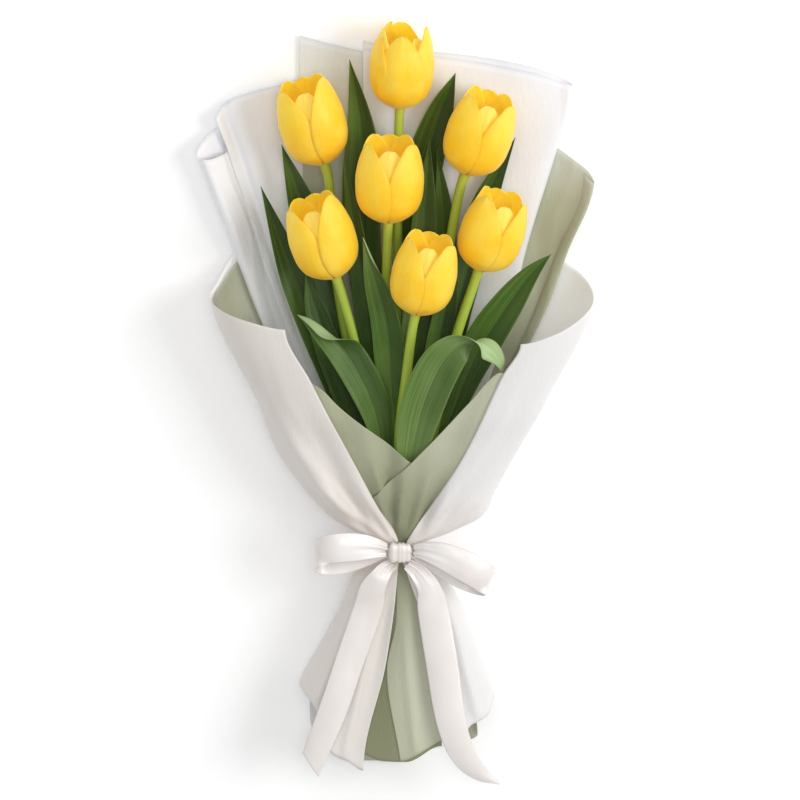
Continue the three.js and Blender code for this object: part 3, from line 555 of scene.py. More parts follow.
# By tulip and letter, each leaf's skin, whose greens are painted darker in shade the deeper the leaf lies
# in the bunch, and its stations: x, y and z as seen, half width and roll.
LEAVES = {
    "1a": ("deep", [(-4.6, 40, -10, 3, 50), (-9, 80, -12.5, 7, 20), (-17, 140, -15, 10, 8),
        (-24, 200, -17, 12, 6), (-26, 245, -18, 13, 6), (-26, 285, -19, 9.5, 10),
        (-34, 330, -14, 0, 10)]),
    "1b": ("deep", [(2, 40, -13.4, 4, 0), (3, 100, -17, 8, 0), (5, 165, -20.5, 11, -4),
        (9, 225, -22.5, 13, -6), (16, 262, -21.5, 13, -8), (27, 296, -18, 9, -8),
        (37.5, 321, -14, 0, -8)]),
    "2a": ("deep", [(-15, 45, -8.4, 4, 0), (-29, 105, -11.5, 8, 0), (-44, 160, -14, 11, 0),
        (-57, 205, -15, 11.5, 0), (-67, 236, -13.5, 9, 4), (-80, 273, -8, 0, 4)]),
    "2b": ("deep", [(-9.2, 40, -3, 2.5, 60), (-12, 80, -2.5, 5, 20), (-19, 135, -2.2, 7.5, 10),
        (-25, 180, -3, 7.5, 8), (-31, 220, -4, 5.5, 8), (-38, 263, -3, 0, 8)]),
    "3a": ("deep", [(16.6, 48, -9.2, 4, 0), (27, 100, -14, 8, -4), (38, 160, -17.5, 10, -6),
        (48, 200, -20, 11, -6), (58, 237, -19.5, 8.5, -10), (78, 278, -14, 0, -14)]),
    "3b": ("deep", [(6.2, 40, -8, 2.6, -10), (9, 72, -9.2, 4, 0), (20, 130, -11.3, 8, 0),
        (27, 180, -13.5, 9, 0), (30, 220, -15, 7.5, 0), (25, 270, -12, 0, 0)]),
    "4a": ("middle", [(-2, 46, 6.5, 4, 0), (-3, 74, 9.4, 6.5, 0), (-6, 112, 12.5, 9.5, 4),
        (-9, 150, 16, 10, 8), (-17, 182, 19, 7, 12), (-25, 210, 20, 0, 12)]),
    "4b": ("deep", [(-2, 46, -2.4, 3.5, 0), (3, 95, -2.2, 6.5, 0), (9, 145, -4, 8.5, 0),
        (14, 190, -6, 9, 0), (17, 230, -7, 7.5, 0), (20, 276, -4, 0, 0)]),
    "5a": ("deep", [(-18.6, 42, 2, 3.5, -60), (-33, 85, -5, 8, -20), (-48, 125, -8, 10.5, -12),
        (-62, 160, -9, 11, -10), (-75, 192, -8, 9, -10), (-94, 245, -2, 0, -10)]),
    "5b": ("deep", [(-18, 48, 7.4, 3.2, -30), (-27, 72, 4, 5.5, -16), (-38, 105, 1.5, 8.5, -10),
        (-49, 137, 0.8, 9, -6), (-58, 164, 1, 6.5, -6), (-64, 186, 2, 0, -6)]),
    "6a": ("middle", [(22, 48, 4.5, 3, 60), (30, 75, 3, 6, 24), (42, 110, 2, 10, 10),
        (56, 140, 2, 12.5, 4), (72, 165, 4, 11, 0), (88, 186, 7, 6, 0), (102, 199, 10, 0, 0)]),
    "6b": ("deep", [(12.6, 52, 4, 3, 30), (15, 80, 2.2, 5, 10), (21, 115, 1.5, 7.5, 0),
        (28, 150, 1, 8, 0), (34, 178, 1.5, 5.5, 0), (38, 198, 2, 0, 0)]),
    "7a": ("middle", [(-6, 34, 12.5, 3, -40), (-12, 66, 15.5, 6, -30), (-19, 98, 19, 11, -22),
        (-34, 128, 23, 12, -14), (-49, 145, 24, 9, -10), (-60, 154, 20, 5, -6), (-69, 158, 14, 0, 0)]),
    "7b": ("front", [(1, 34, 16.2, 3.6, 0), (7, 62, 21, 9.5, 4), (14, 93, 29, 14, 6),
        (25, 120, 38, 14.5, 8), (37, 136, 44, 12, -10), (50, 140, 44, 9, -70), (60, 135, 41, 8, -140),
        (67, 127, 37, 4.5, -160), (69, 119, 33, 0, -160)]),
}
# Margins that turn over: on which side, from where to where along, and the hinge's place across.
TURNED_MARGIN = {"7a": (1, 0.5, 0.72, 0.2), "4a": (1, 0.75, 0.95, 0.7)}
TURNED_ANGLE = math.radians(165)


def through(rows, t):
    """A smooth curve through rows of numbers, evenly spaced, at places t from 0 to 1."""
    rows = np.array(rows, float)
    place = np.clip(t, 0, 1) * (len(rows) - 1)
    i = np.minimum(place.astype(int), len(rows) - 2)
    row = lambda k: rows[np.clip(k, 0, len(rows) - 1)]
    a, b, c, d = row(i - 1), row(i), row(i + 1), row(i + 2)
    return hermite(b, c, (c - a) / 2, (d - b) / 2, (place - i)[:, None])


def strip_frame(stations, rows, across=None):
    """Centres, half widths, wide and face ways and places along, from 0 to 1, of a strip through its
    stations [x, y and z as seen, half width, roll if any]. across is the way its width points where
    it can't lie level."""
    placed = [(*seen(*station[:3]), *(*station[3:], 0)[:2]) for station in stations]
    t = np.linspace(0, 1, rows)
    at = through(placed, t)
    ahead = unit((through(placed, t + 0.01) - through(placed, t - 0.01))[:, :3])
    if across is None:
        level = unit(np.cross(ahead, (0, 0, 1.0)))
    else:
        level = unit(across - np.sum(ahead * across, axis=1, keepdims=True) * ahead)
    roll = np.radians(at[:, 4:5])
    wide = np.cos(roll) * level - np.sin(roll) * np.cross(ahead, level)
    return at[:, :3], at[:, 3:4], wide, np.cross(wide, ahead), t[:, None]


def strip_grid(centre, wide, face, sideways, lift):
    """Points of a strip, so far sideways and so far off its face at each place."""
    return centre[:, None] + sideways[..., None] * wide[:, None] + lift[..., None] * face[:, None]


def ease(start, end, value):
    """From 0 at the start to 1 at the end, gently at both."""
    share = np.clip((value - start) / (end - start), 0, 1)
    return share * share * (3 - 2 * share)


def leaf_skin(name, shade, body, light, gloss):
    """Leaf skin: parallel veins drawn out lengthwise, one half darker than the other in painted shade, as
    if turned from the light, paler to the base, and a thin pale rim that comes and goes."""
    skin = new_material(name, Roughness=gloss, Specular_IOR_Level=0.4, Sheen_Weight=0.04,
                        Sheen_Roughness=0.5)
    spot = place_on(skin)
    veins = mottle(skin, 7.0, (8.0, 0.28, 1.0), by="UV", detail=8, rough=0.62)
    green = colours(skin, veins, [(0.28, shade), (0.52, body), (0.78, light)])
    broad = mottle(skin, 22.0, (1, 0.6, 1), detail=2)
    green = blend(skin, amounts(skin, broad, [(0.42, 0), (0.66, 0.578)]), green, light)
    # Painted shade: the half of the leaf past its middle is darkened, for the side of the fold turned from
    # the light.
    green = blend(skin, amounts(skin, spot[0], [(0.44, 0), (0.54, 0.515)]), green, shade)
    keel = reckon(skin, "LESS_THAN", near_edge(skin, spot[0], 1.0), 0.024)
    green = blend(skin, keel, green, light, most=0.3)
    comes_and_goes = mottle(skin, 3.0, (0.5, 3.0, 1.0), by="UV", detail=2)
    rim = reckon(skin, "MULTIPLY", near_edge(skin, spot[0], 40.0), comes_and_goes)
    green = blend(skin, rim, green, paint(150, 176, 96), most=0.9)
    at_base = reckon(skin, "POWER", reckon(skin, "SUBTRACT", 1.0, spot[1]), 9.0)
    wire(skin, "Base Color", blend(skin, at_base, green, paint(178, 196, 130), most=0.5))
    relief(skin, veins, 0.00035)
    return skin


# Three greens, darker the deeper the leaf lies in the bunch: painted shade.
leaf_skins = {
    "deep": leaf_skin("leaf_deep_painted_shade", paint(22, 44, 0), paint(48, 80, 6), paint(100, 130, 44), 0.34),
    "middle": leaf_skin("leaf_middle_painted_shade", paint(30, 56, 0), paint(64, 98, 18), paint(120, 148, 66), 0.32),
    "front": leaf_skin("leaf_front", paint(52, 82, 18), paint(90, 120, 48), paint(144, 166, 102), 0.32),
}
leaf_back = leaf_skin("leaf_back", paint(142, 170, 112), paint(168, 192, 136), paint(192, 210, 164), 0.5)

for count, (leaf, (skin, stations)) in enumerate(LEAVES.items()):
    centre, half, wide, face, t = strip_frame(stations, LEAF_ROWS)
    half = np.maximum(half, LEAST_HALF_WIDTH)
    c = np.linspace(-1, 1, LEAF_COLUMNS)[None, :]
    across = c + 0 * t
    lift = LEAF_CHANNEL * half * (0.4 * c ** 2 + 0.6 * np.abs(c) ** 1.1)
    if leaf in TURNED_MARGIN:
        side, begins, full, hinge = TURNED_MARGIN[leaf]
        turned = ease(begins, full, t)
        beyond = np.maximum(side * c - hinge, 0)
        across = side * (np.minimum(side * c, hinge) + beyond * np.cos(TURNED_ANGLE * turned))
        lift = lift + half * beyond * np.sin(TURNED_ANGLE * turned) + 0.9 * ease(0, 0.15, beyond) * turned
    waves = np.abs(c) ** 3 * np.sin(t * 19 + count + 2.0 * np.sign(c)) * np.sin(math.pi * t)
    lift = lift + half * (0.05 * waves + 0.012 * np.sin(c * 11 + count))
    grid = strip_grid(centre, wide, face, across * half, lift)
    number, letter = leaf
    make_piece(f"leaf_{leaf}", *shell(grid, LEAF_THICKNESS), [leaf_skins[skin], leaf_back], "leaf",
               [f"tulip_{number}_leaf_{letter}"])

# ------------------------------------------------------------------ white outer wrap
# The outermost of five sheets of soft matte paper, cut from a roll and wrapped one inside the
# other: flat on the table, round at both sides and gathered tight under the ribbon. Its two sides
# fold over to the front as lapels.
TIE_RADIUS = 16.4
NECK = 6  # the paper runs straight through the tie this far each way
TABLE = -34  # the table's height from the tie
LAYER_PITCH = 1.0
LOOSENING = 0.08
LOOSE_TURN = math.pi / 12
LOOSE_LAYERS = 1.3
PAPER_THICKNESS = 0.3
PAPER_EDGE = 0.7
GATHERS_ABOVE = 1.7
GATHERS_BELOW = 1.5
# Cross-sections of the wrap: y, half width, radius of its round sides, lowest height and middle x.
SECTIONS = [
    (-175, 74, 27, TABLE, -2), (-100, 66.6, 26, TABLE, -3), (-70, 53.5, 24, -32, -1),
    (-40, 40.5, 21, -27, 1), (-16, 29, 17.8, -19.5, -1),
    (-NECK, TIE_RADIUS, TIE_RADIUS, -TIE_RADIUS, 0), (NECK, TIE_RADIUS, TIE_RADIUS, -TIE_RADIUS, 0),
    (14, 36, 17.5, -18.5, 2), (23, 53, 19.5, -22, 4), (40, 65, 24.8, -28, 0), (68, 82, 30, -33, -2),
    (82, 89, 32, TABLE, -1), (103, 98, 35, TABLE, 1), (173, 129.5, 37, TABLE, 1.5),
    (214, 134, 40, TABLE, 0), (262, 152, 43, TABLE, -1), (360, 158, 46, TABLE, -3),
]
# Rows of points are closer together near the neck, where the paper bends most, and closer still
# where a sheet ends less than LEAST_ROOM above it.
SKIRT_ROWS = 40
ROWS_BELOW_NECK = (-40, -35, -31, -27, -23, -20, -18, -16, -14, -12, -10, -8)
ROWS_IN_NECK = (-NECK, -3, 0, 3, NECK)
ROWS_ABOVE_NECK = (8, 10, 12, 14, 17, 20, 23, 27, 31, 35, 40)
UPPER_ROWS = 60
LEAST_ROOM = 36
TIE_PIXEL = (400, 548)
MM_PER_PIXEL = 0.68
SETTLING_ROUNDS = 12
LEFT_LAPEL = [(-152, -25), (-77.5, -9.5), (-35, -3.5), (-12, -1.5), (0, -0.6), (8, -1), (34, -15),
              (68, -32), (125, -60), (161, -77)]
RIGHT_LAPEL = [(-150, 37), (-77, 24.5), (-40, 13.5), (-12, 4), (0, 0.6), (8, 4), (36, 22), (71, 43),
               (129, 69), (151, 81)]
LEFT_HEM_PIXELS = [(348, 766), (331, 756), (315, 709), (306, 698), (299, 689)]
RIGHT_HEM_PIXELS = [(495, 697), (493, 707), (489, 718), (480, 725), (472, 729), (458, 752)]
BACK_HEM = [(0.3, -98), (0.4, -108), (0.53, -112), (0.57, -140), (0.6, -154), (0.65, -151), (0.69, -110),
            (0.72, -105)]
# Creases: picture pixels along each, height, reach, and whether only one side is raised.
WRAP_CREASES = [
    ([(262, 335), (282, 400), (322, 465), (392, 536)], 1.8, 4, True),
    ([(262, 380), (300, 450), (340, 500), (392, 539)], 2.0, 5, False),
    ([(296, 462), (340, 504), (388, 540)], 2.2, 3, False),
    ([(306, 498), (345, 522), (384, 543)], 2.2, 2.5, False),
    ([(352, 470), (372, 505), (396, 540)], 1.6, 2.5, False),
    ([(565, 340), (534, 420), (484, 492), (420, 540)], 1.8, 6, False),
    ([(532, 350), (502, 420), (462, 482), (410, 540)], 1.4, 4, False),
    ([(505, 478), (458, 515), (412, 543)], 2.2, 3, False),
    ([(470, 528), (440, 536), (414, 545)], 1.8, 2.5, False),
    ([(384, 566), (350, 622), (318, 700)], 2.4, 4, False),
    ([(376, 566), (336, 618), (306, 680)], 1.6, 3, False),
    ([(392, 570), (372, 640), (345, 755)], 2.2, 3.5, False),
    ([(430, 570), (458, 640), (478, 715)], 2.4, 4, False),
    ([(440, 566), (474, 630), (490, 690)], 1.6, 3, False),
]


def wrap_turn(run, y):
    """How far round its side a place lies: 0 on the back, pi on the front."""
    half, radius, _, _ = along(SECTIONS, y)
    return np.clip((np.abs(run) - (half - radius)) / radius, 0, math.pi)


def wrap_point(run, y, layer, offset):
    """A point of a sheet at y, run round from the middle of the back, offset inwards."""
    half, radius, lowest, middle = along(SECTIONS, y)
    flat = half - radius
    beyond = np.abs(run) - flat
    turn = wrap_turn(run, y)
    loose = LOOSENING * np.minimum(turn / LOOSE_TURN, 1) * (radius - TIE_RADIUS)
    inset = layer * LAYER_PITCH + min(layer, LOOSE_LAYERS) * loose + offset
    straight = np.where(beyond < 0, beyond, -np.maximum(beyond - math.pi * radius, 0))
    x = middle + np.sign(run) * (flat + straight + np.sin(turn) * (radius - inset))
    return np.stack([x, y + 0 * x, lowest + radius - np.cos(turn) * (radius - inset)], axis=-1)


def half_round(y):
    """The run from the middle of the back to the middle of the front."""
    half, radius, _, _ = along(SECTIONS, y)
    return 2 * (half - radius) + math.pi * radius


def seen_places(*pixels):
    """Places seen from above, from the tie, by their picture pixels across and down."""
    return [((across - TIE_PIXEL[0]) * MM_PER_PIXEL, (TIE_PIXEL[1] - down) * MM_PER_PIXEL)
            for across, down in pixels]


def from_line(places, line):
    """How far seen places lie from a line through seen points, on which side, and how far along."""
    nearest, side, passed = (np.full(places.shape[:-1], start) for start in (1e9, 0.0, 0.0))
    for number, (start, end) in enumerate(zip(line, line[1:])):
        way = np.subtract(end, start)
        rel = places - start
        share = np.clip((rel @ way) / (way @ way), 0, 1)
        away = np.linalg.norm(rel - share[..., None] * way, axis=-1)
        closer = away < nearest
        nearest = np.where(closer, away, nearest)
        side = np.where(closer, np.sign(way[0] * rel[..., 1] - way[1] * rel[..., 0]), side)
        passed = np.where(closer, (number + share) / (len(line) - 1), passed)
    return nearest, side, passed


def crease_lift(points, creases):
    """How far soft creases lift a sheet. Each begins gently at the first end of its line."""
    lift = 0.0
    as_seen = points[..., 1] * math.cos(VIEW_LEAN) - points[..., 2] * math.sin(VIEW_LEAN)
    places = np.stack([points[..., 0], as_seen], axis=-1)
    for pixels, height, reach, one_sided in creases:
        away, side, passed = from_line(places, seen_places(*pixels))
        if one_sided:
            form = ease(-reach, reach, away * side) * (1 - ease(30, 60, away))
        else:
            form = np.exp(-(away / reach) ** 2)
        lift = lift + height * ease(0, 0.4, passed) * form
    return lift


def gathers(points, turn):
    """Folds that fan out from the tie, the same through every layer so that no two sheets meet."""
    x, y = points[..., 0], points[..., 1]
    fan = np.arctan2(x, np.abs(y) + 26)
    fades = ease(9, 30, y) * (1 - 0.7 * ease(60, 170, y))
    above = GATHERS_ABOVE * fades * (np.sin(fan * 17) + 0.6 * np.sin(fan * 31 + 1))
    sharp_folds = np.arcsin(0.97 * np.sin(fan * 13 + 0.5))
    below = GATHERS_BELOW * ease(8, 60, -y) * (sharp_folds + 0.7 * np.sin(fan * 24 + 2))
    return (np.where(y > 0, above, below) + 0.6) * ease(0.5, 0.9, turn / math.pi)


def between(material, value, start, end):
    """From 0 to 1 as a value goes from its start to its end."""
    return add_node(material, "MapRange", {0: value, 1: start, 2: end}).outputs[0]


def paper_skin(name, shade, body, light, painted_fold_shade, roughness, skirt=None, high=None, across=(),
               fold_shade_reach=0.06, glow=0.0):
    """Soft paper: faint fibres and clouds and a fine tooth, and painted shade in the tight folds at the
    tie. The skirt may be painted in shade, the high end may have its own tint, and places across may be
    tinted, some of them in painted shade. The paper may give off a painted glow."""
    skin = new_material(name, Roughness=roughness, Specular_IOR_Level=0.3, Subsurface_Weight=0.08,
                        Subsurface_Radius=(1.0, 0.95, 0.9), Subsurface_Scale=0.004, Sheen_Weight=0.15,
                        Sheen_Roughness=0.4, Emission_Color=body, Emission_Strength=glow)
    clouds = mottle(skin, 16.0, (1, 0.45, 1), detail=4)
    fibres = mottle(skin, 420.0, (1, 0.3, 1), detail=3, rough=0.7)
    tint = colours(skin, clouds, [(0.3, shade), (0.5, body), (0.72, light)])
    from_tie = reckon(skin, "SUBTRACT", place_on(skin, "Object")[1], TIE.y)
    # The skirt's tint is painted shade below the tie.
    if skirt:
        tint = blend(skin, between(skin, from_tie, -0.01, -0.06), tint, skirt)
    if high:
        tint = blend(skin, between(skin, from_tie, 0.235, 0.33), tint, high)
    for part_tint, steps in across:
        tint = blend(skin, amounts(skin, place_on(skin)[0], steps), tint, part_tint)
    # Painted shade in the tight folds near the tie.
    near_tie = between(skin, reckon(skin, "ABSOLUTE", from_tie), fold_shade_reach, 0.006)
    tint = blend(skin, reckon(skin, "POWER", near_tie, 1.6), tint, painted_fold_shade, most=0.85)
    wire(skin, "Base Color", blend(skin, fibres, tint, shade, most=0.16))
    relief(skin, reckon(skin, "ADD", fibres, reckon(skin, "MULTIPLY", clouds, 3.0)), 0.0003)
    return skin


def wrap_sheet(name, stands_for, slot, skin, layer, left, right, top, hem=None, columns=90,
               rise=None, over_front=False, creases=(), folded=None, inside=None):
    """A sheet between left(y) and right(y) from its hem to its top, both told by share across. Its
    layer counts inwards from the outermost. A folded one tells its own way across: run and height
    by share and y. Gives the piece and, laid flat, its greatest width with its mean length, and its
    area."""
    share = np.linspace(0, 1, columns)[None, :]
    top_y = along(top, share)[0]
    room = np.minimum(1, (top_y - NECK) / LEAST_ROOM)
    begin = NECK + room * (ROWS_ABOVE_NECK[-1] - NECK)
    rows = [np.full_like(share, y) for y in ROWS_IN_NECK]
    rows += [NECK + room * (y - NECK) for y in ROWS_ABOVE_NECK]
    rows += [begin + (top_y - begin) * part for part in np.linspace(0, 1, UPPER_ROWS)[1:]]
    if hem:
        end = ROWS_BELOW_NECK[0]
        fall = along(hem, share)[0] - end
        rows = [np.full_like(share, y) for y in ROWS_BELOW_NECK] + rows
        rows = [end + fall * part for part in np.linspace(1, 0, SKIRT_ROWS)[:-1]] + rows
    y = np.concatenate(rows, axis=0)
    run = left(y) + (right(y) - left(y)) * share
    risen = rise(share, y) if rise else 0.0
    if folded:
        run, risen = folded(share, y, left(y), right(y))
    if over_front:
        run = np.where(run < 0, -1, 1) * (half_round(y) - np.abs(run))
    turn = wrap_turn(run, y)
    smooth = wrap_point(run, y, layer, risen)
    lift = gathers(smooth, turn) + crease_lift(smooth, creases) * ease(0.5, 0.62, turn / math.pi)
    grid = wrap_point(run, y, layer, risen + lift * np.cos(turn))
    piece = make_piece(name, *shell(grid, PAPER_THICKNESS, PAPER_EDGE), [inside or skin, skin], slot,
                       [stands_for])
    across, ahead = np.diff(grid, axis=1), np.diff(grid, axis=0)
    width = np.linalg.norm(across, axis=2).sum(axis=1).max()
    length = np.linalg.norm(ahead, axis=2).sum(axis=0).mean()
    area = np.linalg.norm(np.cross(across[:-1], ahead[:, :-1]), axis=2).sum()
    return piece, (width * MM, length * MM), area * MM * MM


def front_edge(line, side):
    """An edge on the front, x by y, as the run round to it on one side."""
    return lambda y: side * half_round(y) - (along(line, y)[0] - along(SECTIONS, y)[3])


def front_place(across, down):
    """The run from the middle of the front, and y, of a picture pixel on the front of the wrap."""
    (x, seen_y), = seen_places((across, down))
    y = seen_y
    for _ in range(SETTLING_ROUNDS):
        half, radius, lowest, middle = along(SECTIONS, y)
        beyond = np.clip((abs(x - middle) - (half - radius)) / radius, 0, 1)
        z = lowest + radius * (1 + math.sqrt(1 - beyond ** 2))
        y = (seen_y + z * math.sin(VIEW_LEAN)) / math.cos(VIEW_LEAN)
    run = abs(x - middle) if beyond == 0 else half - radius + radius * math.asin(beyond)
    return math.copysign(run, x - middle), float(y)


def outline(pixels, left, right, over_front=False):
    """Picture pixels on the front as steps [share across, y] of a sheet's hem or top."""
    steps = []
    for across, down in pixels:
        run, y = front_place(across, down)
        if not over_front:
            run = math.copysign(half_round(y) - abs(run), run)
        steps.append((float((run - left(y)) / (right(y) - left(y))), y))
    return steps


# Painted shade: the outer wrap's left side, and a little of its right lapel, are tinted darker. Its inside
# is paler and gives off a painted glow, painted light for light that comes through the paper. The fold
# colour is painted shade at the tie.
outer_skin = paper_skin("outer_paper", paint(224, 221, 219), paint(234, 232, 230), paint(241, 240, 239),
                        paint(218, 208, 199), 0.42, across=[
                            (paint(214, 205, 196), [(0.0, 0.7), (0.26, 0.7), (0.4, 0)]),
                            (paint(220, 218, 217), [(0.78, 0), (0.9, 0.8)])])
glowing_inside_skin = paper_skin("outer_paper_inside_painted_light", paint(240, 238, 236), paint(248, 247, 246),
                        paint(252, 252, 251), paint(218, 208, 199), 0.42, glow=0.1)
lapel_left, lapel_right = front_edge(LEFT_LAPEL, -1), front_edge(RIGHT_LAPEL, 1)
sheet, size, area = wrap_sheet(
    "white_wrap", "white_outer_wrap", "white_paper", outer_skin, 0, lapel_left, lapel_right,
    top=[(0, 161), (0.06, 166), (0.14, 174), (0.2, 180), (0.27, 203), (0.4, 214), (0.6, 210),
         (0.74, 194), (0.82, 178), (0.88, 168), (0.95, 156), (1, 151)],
    hem=[(0, -154), *outline(LEFT_HEM_PIXELS, lapel_left, lapel_right), *BACK_HEM,
         *outline(RIGHT_HEM_PIXELS, lapel_left, lapel_right), (1, -144)],
    columns=220, inside=glowing_inside_skin, creases=WRAP_CREASES)

# ------------------------------------------------------------------ white left sheet
# A second sheet of the white paper stands up behind the flowers at the left. It is rolled forward
# along its left edge, then runs on as a flat panel that stands higher than the roll.
ROLL = [  # share across: how far to the ridge, how far on from it, and height
    (0, 1.05, 0, 0.5), (0.12, 0.2, 0, 0.6), (0.17, 0.03, 0, 2.2), (0.2, 0, 0, 5), (0.23, 0.03, 0, 7.8),
    (0.28, 0.2, 0, 9.6), (0.42, 0.75, 0, 8), (0.49, 0.99, 0, 4.4), (0.505, 1, 0, 5),
    (0.52, 1.03, 0, 6.6), (0.56, 1, 0.07, 5.6), (0.62, 1, 0.16, 2.8), (0.67, 1, 0.26, 5.2),
    (0.76, 1, 0.46, 3), (1, 1, 1, 0),
]
ROLL_AT_TIE = [(0, 0), (0.2, 0.08), (0.5, 0.6), (0.52, 0.8), (1, 1)]
PANEL_EDGE = [(-150, -50), (-40, -34), (-6, -12), (6, -12), (14, -20), (40, -34), (103, -60),
              (142, -74.5), (271, -118.6), (301, -131)]


def back_run(x, y):
    """How far round the section a place under x on the back lies."""
    half, radius, _, middle = along(SECTIONS, y)
    beyond = np.abs(x - middle) - (half - radius)
    round_side = np.where(beyond > 0, radius * np.arcsin(np.clip(beyond / radius, 0, 1)) - beyond, 0)
    return np.sign(x - middle) * (np.abs(x - middle) + round_side)


def back_edge(line):
    """An edge on the back, x by y, as the run round to it."""
    return lambda y: back_run(along(line, y)[0], y)


def rolled_left(share, y, left, right):
    across, further, height = along(ROLL, share)
    ridge = back_edge(PANEL_EDGE)(y)
    grown = ease(80, 130, y)
    across = across * grown + (1 - grown) * np.minimum(along(ROLL_AT_TIE, share)[0] / 0.8, 1)
    run = left + (ridge - left) * across + (right - ridge) * further
    return run, height * (0.12 * ease(20, 60, y) + 0.88 * ease(90, 230, y)) + 0 * run


# The fold colour is painted shade in the folds at the tie.
white_skin = paper_skin("white_paper", paint(229, 228, 230), paint(239, 239, 242), paint(245, 245, 248),
                        paint(200, 189, 180), 0.45)
sheet, size, area = wrap_sheet(
    "white_paper_left", "white_left_sheet", "white_paper", white_skin, 2,
    back_edge([(-150, -66), (-92, -62), (-40, -40), (-16, -24), (-6, -14.4), (6, -14.4), (14, -24),
               (40, -42), (68, -58), (103, -74), (149, -95.5), (267, -142), (301, -155)]),
    back_edge([(-150, -20), (-40, -12), (-6, -2), (6, -2), (40, -14), (103, -34), (200, -52), (320, -62)]),
    top=[(0, 287), (0.12, 273), (0.2, 267), (0.28, 267), (0.42, 269), (0.497, 271), (0.502, 272),
         (0.518, 291), (0.522, 293), (0.6, 300), (0.67, 306), (0.85, 315), (1, 322)],
    hem=[(0, -118), (0.3, -136), (1, -142)], columns=240, folded=rolled_left)

# ------------------------------------------------------------------ sage sheet behind the flowers
# A sheet of sage green paper stands tallest behind the flowers. It turns forward in a narrow rolled
# edge at its right, and is paler towards its top.
TURNED_EDGE = [(0, 0, 0), (0.84, 0.95, 0), (0.88, 0.985, 0.4), (0.91, 1, 1.8), (0.94, 0.985, 3.0),
               (0.97, 0.962, 2.6), (1, 0.945, 1.2)]  # share across: how far to the right edge, height


def turned_right(share, y, left, right):
    across, height = along(TURNED_EDGE, share)
    return left + (right - left) * across, height * ease(60, 180, y)


# The fold colour is painted shade in the folds at the tie, here reaching further.
sage_skin = paper_skin("sage_paper", paint(168, 169, 142), paint(184, 186, 162), paint(200, 201, 182),
                       paint(106, 108, 74), 0.55, high=paint(229, 231, 228), fold_shade_reach=0.11)
sheet, size, area = wrap_sheet(
    "sage_paper_back", "sage_back_sheet", "sage_paper", sage_skin, 3,
    back_edge([(-150, -52), (-92, -46), (-40, -26), (-16, -14), (-6, -9.6), (6, -9.6), (14, -14),
               (40, -24), (68, -34), (150, -50), (250, -66), (350, -68)]),
    back_edge([(-150, 56), (-92, 50), (-40, 30), (-16, 16), (-6, 10.6), (6, 10.6), (14, 19), (40, 38),
               (68, 52), (103, 72), (152, 97.5), (200, 117.5), (253, 137)]),
    top=[(0, 349), (0.3, 338), (0.52, 312), (0.76, 269), (0.84, 258.5), (0.91, 250.5), (0.94, 252),
         (1, 256)],
    hem=[(0, -150), (0.3, -161), (0.5, -161), (0.56, -158), (0.62, -147), (0.8, -146), (1, -138)],
    columns=130, folded=turned_right)

# ------------------------------------------------------------------ white sheet behind the flowers
# A third sheet of the white paper, in front of the sage one, is folded double along its right
# edge and stands open along the top like a lens.
DOUBLED = [(0, 0, 0.2), (0.42, 0.93, 0.2), (0.46, 0.985, 1.2), (0.49, 1, 3.8), (0.52, 0.985, 6.4),
           (0.56, 0.93, 7.6), (0.75, 0.53, 5), (1, 0, 2)]  # share across: how far to the fold, height


def doubled_right(share, y, left, right):
    across, height = along(DOUBLED, share)
    return left + (right - left) * across, height * (0.12 + 0.88 * ease(80, 220, y))


sheet, size, area = wrap_sheet(
    "white_paper_back", "white_back_sheet", "white_paper", white_skin, 4,
    back_edge([(-6, 0.4), (6, 0.4), (14, 0), (40, -6), (68, -10), (150, -18), (250, -24), (345, -25)]),
    back_edge([(-6, 9.2), (6, 9.2), (14, 14), (40, 28), (68, 42), (103, 58), (152, 74), (205, 86.5),
               (269, 105.5), (320, 118.8)]),
    top=[(0, 346), (0.15, 339.5), (0.25, 335.5), (0.357, 327.6), (0.42, 320.5), (0.49, 316.3),
         (0.56, 318.5), (0.6, 322.2), (0.71, 329.2), (0.83, 335.3), (1, 340)],
    columns=150, folded=doubled_right)

# ------------------------------------------------------------------ sage lining and its flap
# A second sage sheet lines the lapels and crosses over in front in a low V: its right flap lies
# over its left one, from the lapel through the tie to the skirt, both held by the ribbon.
LINING_LEFT = [(-160, 0.18), (-40, 0.17), (-16, 0.24), (-6, 0.5), (6, 0.62), (68, 0.6), (115, 0.6),
               (150, 0.78), (200, 0.78)]
LINING_RIGHT = [(-160, 0.18), (-40, 0.18), (-16, 0.26), (-6, 0.42), (6, 0.46), (68, 0.44), (200, 0.44)]
LINING_TOP_PIXELS = [(302, 379), (340, 408), (375, 435), (411, 463), (440, 486)]
LINING_CREASES = [([(366, 448), (388, 500), (399, 538)], 1.6, 3, False),
                  ([(384, 462), (390, 500)], -1.2, 2.5, False)]
FLAP_LAYER = 0.55
FLAP_LEFT = [(-160, 2), (-144, 0), (-83, -9), (-46, -2.5), (-16, -2), (-6, -1.5), (6, -2.5), (14, -8),
             (36, -18), (60, -19), (140, -19)]
FLAP_RIGHT = [(-160, 35), (-144, 34), (-83, 30), (-46, 24), (-16, 10), (-6, 3), (6, 3.5), (14, 11),
              (36, 29), (71, 52), (120, 73), (140, 80)]
FLAP_TOP_PIXELS = [(374, 496), (383, 488), (392, 480), (401, 472), (411, 463), (425, 449), (440, 434),
                   (470, 402), (499, 373)]
FLAP_CREASES = [
    ([(430, 474), (413, 508), (404, 536)], -0.8, 3, False),
    ([(462, 436), (430, 480), (408, 534)], 3.0, 5, False),
    ([(400, 490), (397, 525)], 2.4, 3, False),
    ([(404, 600), (408, 680), (416, 752)], 2.0, 4, False),
]


def share_round(table, side):
    """An edge by its share of the half round from the middle of the front."""
    return lambda y: side * half_round(y) * along(table, y)[0]


